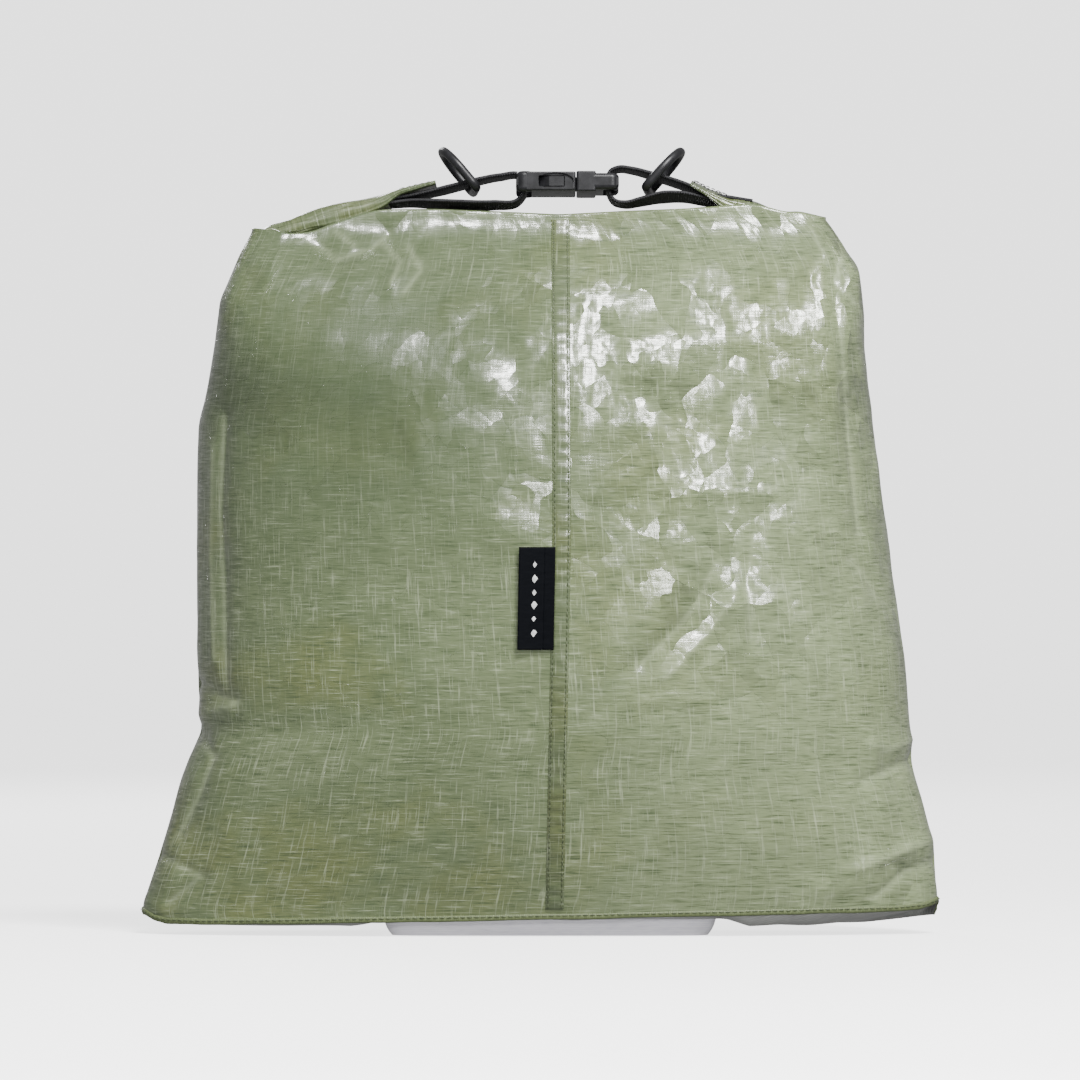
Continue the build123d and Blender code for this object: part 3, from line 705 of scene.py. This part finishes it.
def makeBag():
    phiFront = np.linspace(-np.pi, 0, bag["columnsFront"], endpoint=False)
    phiBack = np.linspace(0, np.pi, bag["columnsBack"], endpoint=False)
    phi = np.concatenate([phiFront, phiBack])
    x, y, z = bagSurface(phi, np.linspace(0, 1, bag["rows"]))
    # the crease: the film turns over the edge of the roll, then runs level under it;
    # the bottom is shut inside the base
    turn = np.radians([25, 50, 75, 100, 130])[:, None]
    side = np.sign(np.sin(phi))[None, :]
    amount = np.clip(np.abs(y[-1:]) / 6, 0, 1)
    lipX = np.repeat(x[-1:], len(turn), axis=0)
    lipY = y[-1:] - side * 1.8 * (1 - np.cos(turn)) * amount
    lipZ = z[-1:] + 1.8 * np.sin(turn) * 0.8
    rowsX = [x[:1] * 0.02, x[:1] * 0.95, x, lipX, x[-1:]]
    rowsY = [y[:1] * 0.02, y[:1] * 0.95, y, lipY, y[-1:] * 0.02]
    rowsZ = [z[:1] * 0 + 10.2, z[:1] + 0.4, z, lipZ, z[-1:] - 1.5]
    points = np.stack([np.vstack(rowsX), np.vstack(rowsY), np.vstack(rowsZ)], axis=-1)
    around = np.hypot(np.diff(x[100], append=x[100, 0]), np.diff(y[100], append=y[100, 0]))
    u = np.broadcast_to(np.concatenate([[0], np.cumsum(around)[:-1]]), points.shape[:2])
    v = points[..., 2].copy()
    v[-6:] = v[-7] + np.arange(1, 7)[:, None] * 0.8
    piece = gridMesh("bagWrap", points, True, np.stack([u, v], axis=-1))
    faceOutwards(piece.data)
    # per point: painted light, painted shade, fold whitening and creasing amount, for the film's material
    paintedLightShadeFolds = piece.data.color_attributes.new("paintedLightShadeFolds", "FLOAT_COLOR", "POINT")
    paintedLightShadeFolds.data.foreach_set("color", paintedLightShadeFoldsOf(*points.reshape(-1, 3).T).astype(np.float32).ravel())
    return finished(piece, filmMaterial, "bag", ["body_wrap"])


makeBag()
print("bag wrap made")

seam = {"half": 4.3, "rows": 3.2, "rise": 0.55, "pucker": 0.22, "pitch": 2.8}


def makeSeam():
    # a raised strip down the front, puckered between its two rows of stitches
    share = np.linspace(0.012, 0.996, 460)
    middle = along(seamLine, 5 + 337 * share)
    across = np.linspace(-1, 1, 17)
    xs = middle[:, None] + across[None] * seam["half"]
    height = 337 * share[:, None]
    pucker = np.sin(height * 2 * np.pi / 7.3 + 2 * np.sin(height / 9)) * np.cos(across * np.pi / 2)[None]
    rows = np.exp(-((np.abs(across[None]) * seam["half"] - seam["rows"]) / 0.7) ** 2)
    lift = 0.25 + seam["rise"] * (1 - across[None] ** 8) + seam["pucker"] * pucker - 0.28 * rows
    front = onFront(xs, share, 0) - np.stack([lift * 0, lift, lift * 0], axis=-1)
    back = onFront(xs, share, 0)[:, ::-1] + np.array([0, 0.3, 0])
    points = np.concatenate([front, back], axis=1)
    points = np.concatenate([points[:1], points, points[-1:]])
    points[0, :17, 1] = points[0, 17:, 1][::-1] - 0.02
    points[-1, :17, 1] = points[-1, 17:, 1][::-1] - 0.02
    u = np.concatenate([xs, xs[:, ::-1] + 20], axis=1)
    u = np.concatenate([u[:1], u, u[-1:]])
    uv = np.stack([u, points[..., 2]], axis=-1)
    strip = gridMesh("seamStrip", points, True, uv)
    faceOutwards(strip.data)
    finished(strip, seamFilm, "bag", ["front_seam"])
    for name, way in (("Left", -1), ("Right", 1)):
        x = (middle + way * seam["rows"])[:, None]
        line = onFront(x, share, 0.62)[:, 0]
        normals = np.tile([0.0, -1.0, 0.0], (len(line), 1))
        row = stitches(f"seamStitches{name}", [(line, normals)], seam["pitch"], seam["pitch"] * 0.82, 0.55, 0.5)
        finished(row, greenThread, "bag", [f"front_seam_thread_{name.lower()}"])
    share = np.linspace(0.05, 0.97, 120)
    xs = along(seamLine, 337 * share)[:, None] + np.linspace(-9, 9, 9)[None]
    inner = np.concatenate([onFront(xs, share, -1.0), onFront(xs[:, ::-1], share, -1.3)], axis=1)
    tape = gridMesh("seamTapeFront", inner, True, inner[..., ::2])
    finished(tape, tapeFilm, "bag", ["front_seam_tape"])


makeSeam()
print("front seam made")

hem = {"stitchPitch": 3.2, "bandTop": 2.0}
foot = {"x": 4.7, "topWidth": 157.0, "topDepth": 76.0, "taper": 3.6, "squareness": 0.26, "crumple": 1.5}


def hemRing(phi, lift=0.0, rise=0.0):
    # the bag's bottom edge, moved out along its oval and up
    x, y, z = (row[0] for row in bagSurface(phi, np.array([0.0])))
    nx, ny = np.cos(phi) / bag["halfWidth"], np.sin(phi) / bag["hemDepth"]
    size = np.hypot(nx, ny)
    ring = np.stack([x + nx / size * lift, y + ny / size * lift, z + rise], axis=-1)
    return ring, np.stack([nx / size, ny / size, nx * 0], axis=-1)


def makeHem():
    phi = np.linspace(-np.pi, np.pi, 520, endpoint=False)
    loop = [(-0.5, -0.8), (0.3, -1.0), (0.75, -0.5), (0.9, 0.4), (0.8, 1.4), (0.55, 1.8), (0.1, hem["bandTop"]),
            (-0.6, 1.6), (-0.7, 0.4)]
    rings = []
    girth = bag["girth"]
    ripple = (smoothNoise((phi + np.pi) / (2 * np.pi) * girth, phi * 0, 9, 5, girth) - 0.5) * 0.5
    for out, up in loop + loop[:1]:
        ring, _ = hemRing(phi, out, up)
        ring[:, 2] += ripple
        rings.append(ring)
    points = np.stack(rings)
    run = lengthsAlong(points[3])
    uv = np.stack([np.broadcast_to(np.arange(len(rings))[:, None] * 1.1, points.shape[:2]),
                   np.broadcast_to(run[None], points.shape[:2])], axis=-1)
    band = gridMesh("hemBinding", np.swapaxes(points, 0, 1)[:, :-1], True, np.swapaxes(uv, 0, 1)[:, :-1])
    joinRound(band, len(loop))
    faceOutwards(band.data)
    finished(band, binding, "bag", ["bottom_binding"])
    line, normals = hemRing(np.linspace(-np.pi, np.pi, 1500), 1.0, 0.9)
    row = stitches("hemStitches", [(line, normals)], hem["stitchPitch"], hem["stitchPitch"] * 0.8, 0.5, 0.45)
    finished(row, greenThread, "bag", ["bottom_thread"])
    phi = np.linspace(-np.pi, np.pi, 240, endpoint=False)
    x, y, z = bagSurface(phi, np.linspace(0.004, 0.035, 4))
    outer = np.stack([x * 0.994, y * 0.975, z], axis=-1)
    inner = np.stack([x * 0.992, y * 0.968, z], axis=-1)[::-1]
    points = np.swapaxes(np.concatenate([outer, inner]), 0, 1)
    tape = gridMesh("seamTapeBottom", points, True, points[..., ::2])
    joinRound(tape, 8)
    finished(tape, tapeFilm, "bag", ["bottom_seam_tape"])


def joinRound(piece, around):
    # closes a ring-shaped strip: its first and last rows of points are bridged
    mesh = piece.data
    work = bmesh.new()
    work.from_mesh(mesh)
    work.verts.ensure_lookup_table()
    last = len(work.verts) - around
    for k in range(around):
        j = (k + 1) % around
        work.faces.new([work.verts[last + k], work.verts[last + j], work.verts[j], work.verts[k]]).smooth = True
    bmesh.ops.recalc_face_normals(work, faces=work.faces)
    work.to_mesh(mesh)
    work.free()


def makeBase():
    # rings from the hem in to the foot's top edge, sagging between them; then the foot's walls and floor
    phi = np.linspace(-np.pi, np.pi, 400, endpoint=False)
    ring, _ = hemRing(phi)
    c, s = np.cos(phi), np.sin(phi)
    halfX, halfY = foot["topWidth"] / 2, foot["topDepth"] / 2
    footX = np.sign(c) * np.abs(c) ** foot["squareness"] * foot["topWidth"] / 2
    footY = np.sign(s) * np.abs(s) ** foot["squareness"] * foot["topDepth"] / 2
    t = np.linspace(0, 1, 14)[:, None]
    x = ring[:, 0] * (1 - t) + (foot["x"] + footX) * t
    y = ring[:, 1] * (1 - t) + footY * t
    rim = ring[:, 2] - 0.7
    outside = np.clip((np.abs(x - foot["x"]) - 80) / 14, 0, 1)
    sag = np.clip(0.5 * (rim + 7.9) - 4.9, 0, 9) * outside
    ripple = (smoothNoise(x, y, 14, 21) - 0.5) * 1.4 * np.sin(np.pi * t)
    z = rim * (1 - t) + 7.9 * t - sag * np.sin(np.pi * t) + ripple
    x = np.vstack([x, foot["x"] + footX[None] * 0.02])
    y = np.vstack([y, footY[None] * 0.02])
    z = np.vstack([z, z[-1:] + 0.6])
    lidX, lidY, lidZ = ring[None, :, 0] * 0.02, ring[None, :, 1] * 0.02, ring[None, :, 2] * 0 + 9.6
    points = np.stack([np.vstack([lidX, x]), np.vstack([lidY, y]), np.vstack([lidZ, z])], axis=-1)
    panel = gridMesh("basePanel", points, True, points[..., :2] + 400)
    faceOutwards(panel.data)
    finished(panel, paleFilm, "bag", ["base_panel"])

    levels = [(1.012, 8.9), (1.012, 8.2), (1.0, 7.4), (0.75, 5.2), (0.5, 3.4), (0.25, 1.6), (0.10, 0.7), (0.03, 0.25),
              (-0.03, 0.04)]
    girth = np.concatenate([[0], np.cumsum(np.hypot(np.diff(footX), np.diff(footY)))])
    soft = ((smoothNoise(girth, girth * 0, 13, 31, girth[-1]) - 0.5)
            + 0.6 * (smoothNoise(girth, girth * 0, 6, 32, girth[-1]) - 0.5))
    rows = []
    for share, height in levels:
        draw = foot["taper"] * (1 - min(max(share, 0), 1))
        dent = soft * foot["crumple"] * math.sin(math.pi * min(max(share, 0.06), 0.94))
        ax = footX * (1 - draw / halfX) + footX / halfX * (0.35 if share > 1 else 0)
        ay = footY * (1 - draw / halfY)
        nx, ny = footX / halfX, footY / halfY
        near = np.hypot(nx ** 7, ny ** 7) + 1e-6
        ax = ax + nx ** 7 / near * dent
        ay = ay + ny ** 7 / near * dent
        wave = (smoothNoise(girth, girth * 0, 22, 33, girth[-1]) - 0.3) * 0.5 * (share < 0.2) * (share > 0)
        rows.append(np.stack([foot["x"] + ax, ay, height + np.clip(wave, 0, 1)], axis=-1))
    base = rows[-1]
    for shrink in (0.93, 0.6, 0.02):
        rows.append(np.stack([foot["x"] + (base[:, 0] - foot["x"]) * shrink, base[:, 1] * shrink, base[:, 2] * 0],
                             axis=-1))
    top = rows[0]
    rows.insert(0, np.stack([foot["x"] + (top[:, 0] - foot["x"]) * 0.02, top[:, 1] * 0.02, top[:, 2]], axis=-1))
    points = np.stack(rows)
    v = lengthsAlong(points[:, 0])
    uv = np.stack([np.broadcast_to(girth[None], points.shape[:2]), np.broadcast_to(v[:, None], points.shape[:2])],
                  axis=-1)
    patch = gridMesh("footPatch", points, True, uv)
    faceOutwards(patch.data)
    finished(patch, silver, "bag", ["base_patch"])


makeHem()
makeBase()
print("hem, base and foot made")

collar = {"width": 29.0, "thickness": 6.2, "groove": 0.55}
closure = {"loopZ": 350.0, "tilt": -5.0}

# Middle lines, as (x, z): the roll from fold to fold, and each end from the fold in to the strap
rollLine = [(-120, 325.6), (-127, 326.2), (-130.6, 329.4), (-128.6, 332.4), (-122, 330.8), (-112, 327.6),
            (-104, 329.6), (-94, 334.4), (-84, 337.2), (-70, 338.8), (-48, 339.2), (-20, 338.2), (9.5, 336.8),
            (40, 338.2), (71, 339.4), (95, 341.0), (106, 341.2), (114, 338.6), (122, 336.6), (128, 334.4),
            (130.4, 330.6), (127, 327.0), (120, 326.2)]


def tiltedAbout(points, degrees):
    # points turned about the loop's pivot line, which runs along X
    turn = np.radians(degrees)
    y, z = points[..., 1].copy(), points[..., 2] - closure["loopZ"]
    points[..., 1] = y * np.cos(turn) - z * np.sin(turn)
    points[..., 2] = y * np.sin(turn) + z * np.cos(turn) + closure["loopZ"]
    return points


def framesAlong(line):
    # middle line in the XZ plane with its sideways and upward directions
    centre = np.stack([line[:, 0], line[:, 0] * 0, line[:, 1]], axis=-1)
    ahead = np.gradient(centre, axis=0)
    ahead /= np.linalg.norm(ahead, axis=1)[:, None]
    side = np.tile([0.0, 1.0, 0.0], (len(line), 1))
    return centre, side, np.cross(ahead, side)


def layeredSection(width, thickness, count=72):
    # a pressed roll: the flattened oval with a shallow groove between the turns of film at its two edges
    base = flatSection(width, thickness, count, 0.42)
    turn = np.linspace(0, 2 * np.pi, count, endpoint=False) + np.pi / count
    groove = sum(np.exp(-((base[:, 1] / thickness - at) / 0.05) ** 2) for at in (-0.2, 0.14))
    groove = groove * (np.abs(np.cos(turn)) > 0.6)
    base[:, 0] -= np.sign(base[:, 0]) * groove * collar["groove"]
    return base


def makeCollar():
    line = curveThrough(rollLine, 260)
    centre, side, up = framesAlong(line)
    section = np.broadcast_to(layeredSection(collar["width"], collar["thickness"]), (len(line), 72, 2)).copy()
    run = np.arange(len(line)) * 1.25
    sway = (smoothNoise(run, run * 0, 26, 51) - 0.5) * 1.6
    puffing = (smoothNoise(run[:, None], np.arange(72)[None] * 3.0, 11, 52) - 0.5) * 0.9
    section[..., 0] *= 1 + sway[:, None] / collar["width"]
    section[..., 1] *= 1 + puffing * 0.16
    roll = carried("rolledCollar", centre, side, up, section)
    finished(roll, collarFilm, "bag", ["rolled_collar"])


def makeArm(name, way, stations, node):
    # one end of the roll, folded back over it and thinning into the tab that holds the strap
    line = curveThrough(stations, 110)
    centre, side, up = framesAlong(line[:, :2])
    thick = line[:, 2]
    share = np.linspace(0, 1, len(line))
    widths = 27 - 2 * share ** 2
    section = np.stack([layeredSection(w, t) for w, t in zip(widths, thick)])
    run = share * 80
    around = np.arange(72)[None]
    slack = 1 - share[:, None] * 0.85
    puffing = (smoothNoise(run[:, None], around * 2.6, 9, 61 + way) - 0.5) * slack
    fold = foldNoise(run[:, None] + around * 0.5, around * 2.2, 12, 71 + way) * slack
    section[..., 1] += puffing * 1.6 * np.sign(section[..., 1])
    section[..., 0] *= 1 + (fold - 0.25) * 0.10
    turn = np.radians(-closure["tilt"] * np.clip(share * 1.6, 0, 1))
    up2 = up * np.cos(turn)[:, None] + side * np.sin(turn)[:, None]
    side2 = side * np.cos(turn)[:, None] - up * np.sin(turn)[:, None]
    arm = carried(name, centre, side2, up2, section)
    finished(arm, collarFilm, None, [node])
    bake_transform(arm)


# Each end as (x, middle height, thickness)
leftArm = [(-127, 332.6, 6), (-121, 334, 7), (-114, 335.4, 9.4), (-104, 338.2, 10.6), (-95, 340.6, 10.8),
           (-84, 343.2, 9.2), (-75, 346.2, 7.0), (-67, 350.4, 3.8), (-58, 353.2, 2.6), (-49.2, 355.4, 2.0)]
rightArm = [(127, 333.2, 6), (120, 336.5, 7.5), (113, 339, 8), (106.7, 341, 8.4), (96.2, 344.4, 8),
            (89, 346.4, 6.4), (83.5, 349.6, 4.2), (77.5, 353, 2.6), (71.6, 356.2, 2.0)]


makeCollar()
makeArm("collarEndLeft", -1, leftArm, "collar_arm_left")
makeArm("collarEndRight", 1, rightArm, "collar_arm_right")
print("collar made")

strap = {"width": 20.0, "thickness": 2.2, "stitch": 2.6}
leftStrap = [(-72.2, 347.7), (-60.9, 349.4), (-49.1, 351.9), (-39.1, 354.4), (-28.5, 357.2), (-19.2, 359.0),
             (-9.5, 359.3), (-6.9, 356.2), (-7.2, 351.4), (-10.4, 347.2), (-22.3, 345.7), (-34.8, 345.4),
             (-49.1, 346.2), (-60.9, 346.7), (-72.2, 345.8)]
rightStrap = [(100.8, 346.7), (91.0, 348.2), (78.7, 350.2), (70.9, 353.8), (61.8, 357.0), (52.1, 360.0),
              (43.6, 362.2), (37.1, 362.8), (33.5, 361.2), (32.0, 356.6), (32.5, 351.6), (35.3, 347.2),
              (40.4, 346.0), (47.5, 347.3), (57.3, 349.4), (68.3, 349.6), (78.7, 347.6), (91.0, 346.0),
              (100.8, 344.8)]


def makeStrap(name, line, node, extraTilt):
    # flat webbing: a crowned strip carried along the loop, leaning a little more where it hangs slack
    line = curveThrough(line, 240)
    centre, side, up = framesAlong(line)
    share = np.linspace(0, 1, len(line))
    lean = np.radians(np.interp(share, *np.array(extraTilt, float).T))
    side2 = side * np.cos(lean)[:, None] + up * np.sin(lean)[:, None]
    up2 = up * np.cos(lean)[:, None] - side * np.sin(lean)[:, None]
    section = flatSection(strap["width"], strap["thickness"], 36, 0.22)
    section[:, 1] *= 1 - 0.10 * (section[:, 0] / 10) ** 2
    piece = carried(name, tiltedAbout(centre, closure["tilt"]), tiltedWay(side2), tiltedWay(up2), section)
    return finished(piece, webbing, None, [node])


def tiltedWay(directions):
    # directions turned as tiltedAbout turns points
    turn = np.radians(closure["tilt"])
    y, z = directions[:, 1], directions[:, 2]
    return np.stack([directions[:, 0], y * np.cos(turn) - z * np.sin(turn), y * np.sin(turn) + z * np.cos(turn)],
                    axis=-1)


def makeTack(name, node, stations, inner, outer):
    # a sewn box with a cross on top of the tab: lines between the corners of a square, read off the tab's upper side
    table = np.array(sorted(stations), float)
    half = abs(outer - inner) / 2
    middle = (inner + outer) / 2
    slope = math.radians(closure["tilt"])
    corners = [(-1, -1), (1, -1), (1, 1), (-1, 1)]
    lines = []
    for a, b in ((0, 1), (1, 2), (2, 3), (3, 0), (0, 2), (3, 1)):
        run = np.linspace(0, 1, 40)
        x = middle + half * (corners[a][0] + (corners[b][0] - corners[a][0]) * run)
        y = half * (corners[a][1] + (corners[b][1] - corners[a][1]) * run)
        z = np.interp(x, table[:, 0], table[:, 1] + table[:, 2] / 2) + y * math.sin(slope) + 0.1
        lines.append((np.stack([x, y, z], axis=-1), np.tile([0.0, 0.0, 1.0], (40, 1))))
    row = stitches(name, lines, strap["stitch"], strap["stitch"] * 0.8, 0.6, 0.5)
    finished(row, blackThread, "closure", [node])


leftLoop = makeStrap("strapLoopLeft", leftStrap, "strap_left",
                     [(0, 0), (0.2, -3), (0.42, 0), (0.58, 2), (0.75, 7), (1, 0)])
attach(leftLoop, "closure")
rightLoop = makeStrap("strapLoopRight", rightStrap, "strap_right",
                      [(0, 0), (0.25, 3), (0.42, 0), (0.58, 0), (0.72, -8), (1, 0)])
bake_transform(rightLoop)
makeTack("tabStitchesLeft", "strap_tack_left", leftArm, -51.5, -66.5)
makeTack("tabStitchesRight", "strap_tack_right", rightArm, 73.5, 88.5)
print("straps made")

label = {"left": -10.2, "hinge": 1.85, "right": 6.8, "low": 135.4, "high": 183.4, "thickness": 0.5, "lift": 1.1,
         "marks": 6}


def labelGrid(x0, x1, lift):
    # rows up the label, columns across it, lying a little off the film and rising at its free edge
    z = np.linspace(label["low"], label["high"], 60)
    x = np.linspace(x0, x1, 14)
    rest = onFront(np.broadcast_to(np.linspace(-10, 7, 12), (60, 12)), (z - 9) / 331.0, 0)[..., 1].min(axis=1)
    rest = np.convolve(np.pad(rest, 8, mode="edge"), np.ones(17) / 17, mode="valid")
    curl = 0.9 * np.clip((2 - x) / 12, 0, 1) ** 2
    y = rest[:, None] - lift - curl[None] - 0.25 * np.sin(z / 9.0)[:, None] * np.clip((2 - x) / 12, 0, 1)[None]
    return np.stack([np.broadcast_to(x[None] + (z[:, None] - 160) * 0.018, y.shape), y,
                     np.broadcast_to(z[:, None], y.shape)], axis=-1)


def makeLabelPart(name, x0, x1, body, node):
    front = labelGrid(x0, x1, label["lift"] + label["thickness"])
    back = labelGrid(x0, x1, label["lift"])[:, ::-1]
    points = np.concatenate([front, back], axis=1)
    ends = [points[k].copy() for k in (0, -1)]
    for end in ends:
        end[:, 1] = np.concatenate([end[:14, 1], end[:14, 1][::-1]]) + label["thickness"] / 2
    points = np.concatenate([ends[0][None], points, ends[1][None]])
    piece = gridMesh(name, points, True, points[..., ::2])
    faceOutwards(piece.data)
    return finished(piece, labelCloth, body, [node])


def makeMarks():
    # a plain column of small woven diamonds, each a low four-sided point
    rows = labelGrid(label["left"], label["hinge"], label["lift"] + label["thickness"] + 0.02)
    verts, faces = [], []
    for k in range(label["marks"]):
        z = label["low"] + 8 + k * 6.4
        r = int(round((z - label["low"]) / 48 * 59))
        centre = rows[r, 8]
        size = 1.5 if k % 2 else 2.2
        start = len(verts)
        for step in ((0, -0.12, 0), (size * 0.75, 0, 0), (0, 0, size), (-size * 0.75, 0, 0), (0, 0, -size),
                     (0, 0.1, 0)):
            verts.append(tuple((centre + np.array(step)) / 1000))
        for a, b in ((1, 2), (2, 3), (3, 4), (4, 1)):
            faces += [(start, start + b, start + a), (start + 5, start + a, start + b)]
    mesh = bpy.data.meshes.new("labelMarks")
    mesh.from_pydata(verts, [], faces)
    faceOutwards(mesh)
    finished(linked("labelMarks", mesh), paleThread, "label", None)


makeLabelPart("labelFlap", label["left"], label["hinge"], "label", "label_flap")
makeLabelPart("labelRoot", label["hinge"], label["right"], "bag", "label_root")
makeMarks()
print("label made")

# the hardware and the two strips keep their CAD shape
for finish, nodes in (
        (mouldedBlack, ("buckle_socket", "buckle_plug", "prong_front", "prong_back", "d_ring_left", "d_ring_right")),
        (stripPlastic, ("stiffener_front", "stiffener_back"))):
    for node in nodes:
        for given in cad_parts[node].material_slots:
            given.material = finish
print("hardware finished")

studio = {
    "wallRadius": 9.0,
    "coveRadius": 2.0,
    "wallTop": 7.0,
    "world": 0.36,
    "glow": 2.05,
    "keyPower": 30,
    "topPower": 84,
    "sidePower": 26,
    "footPower": 7,
    "backPower": 34,
    "cameraDistance": 5.0,
    "cameraHeight": 0.1867,
    "frameWidth": 0.513,
}


def makeStage():
    # a bowl: a flat floor, a quarter-round cove and an upright wall, as a profile turned about the vertical axis;
    # the wall stands beyond a camera on any side, so it never hides the bag
    wall, bend, top = studio["wallRadius"] * 1000, studio["coveRadius"] * 1000, studio["wallTop"] * 1000
    turn = np.linspace(0, np.pi / 2, 13)
    out = np.concatenate([[0, 400], wall - bend * (1 - np.sin(turn)), [wall]])
    z = np.concatenate([[0, 0], bend * (1 - np.cos(turn)), [top]])
    around = np.linspace(0, 2 * np.pi, 97)
    points = np.stack([np.outer(out, np.cos(around)), np.outer(out, np.sin(around)),
                       np.broadcast_to(z[:, None], (len(z), len(around)))], axis=-1)
    cove = gridMesh("studioCove", points)
    paper, tree, shader = newMaterial("paleFloor")
    setInputs(tree, shader, Base_Color=(0.90, 0.90, 0.90, 1), Roughness=0.9, Specular_IOR_Level=0.1,
              Emission_Color=(1, 1, 1, 1), Emission_Strength=studio["glow"])
    cove.data.materials.append(paper)
    cove.visible_diffuse = False      # the paper glows for the eye without washing out the bag
    cove.visible_glossy = False


def aimAt(obj, target):
    obj.rotation_euler = (Vector(target) - obj.location).to_track_quat("-Z", "Y").to_euler()


def addLight(name, place, target, size, power):
    light = bpy.data.lights.new(name, "AREA")
    light.shape = "RECTANGLE"
    light.size, light.size_y = size
    light.energy = power
    obj = linked(name, light)
    obj.location = place
    aimAt(obj, target)
    return obj


def makeStudio():
    world = bpy.data.worlds.new("paleRoom")
    world.use_nodes = True
    background = world.node_tree.nodes["Background"]
    background.inputs["Color"].default_value = (1, 1, 1, 1)
    background.inputs["Strength"].default_value = studio["world"]
    bpy.context.scene.world = world
    key = addLight("frontKey", (-0.75, -3.2, 0.62), (0, 0, 0.19), (0.3, 0.3), studio["keyPower"])
    key.visible_glossy = False
    addLight("sideSoft", (1.05, -1.9, 1.25), (0.05, 0, 0.22), (0.42, 0.42), studio["sidePower"])
    addLight("topSoft", (0.52, -1.38, 1.83), (0.05, 0, 0.25), (0.62, 0.48), studio["topPower"])
    low = addLight("footFill", (0.1, -1.6, 0.03), (0, 0, 0.0), (0.7, 0.05), studio["footPower"])
    low.visible_glossy = False
    addLight("backSoft", (-0.9, 2.6, 1.5), (0, 0, 0.2), (0.9, 0.7), studio["backPower"])
    camera = bpy.data.cameras.new("camera")
    camera.sensor_width = 36
    camera.lens = camera.sensor_width * studio["cameraDistance"] / studio["frameWidth"]
    camera.clip_end = 50
    holder = linked("camera", camera)
    holder.location = (0, -studio["cameraDistance"], studio["cameraHeight"])
    holder.rotation_euler = (math.radians(90), 0, 0)
    bpy.context.scene.camera = holder


makeStage()
makeStudio()
print("studio made")
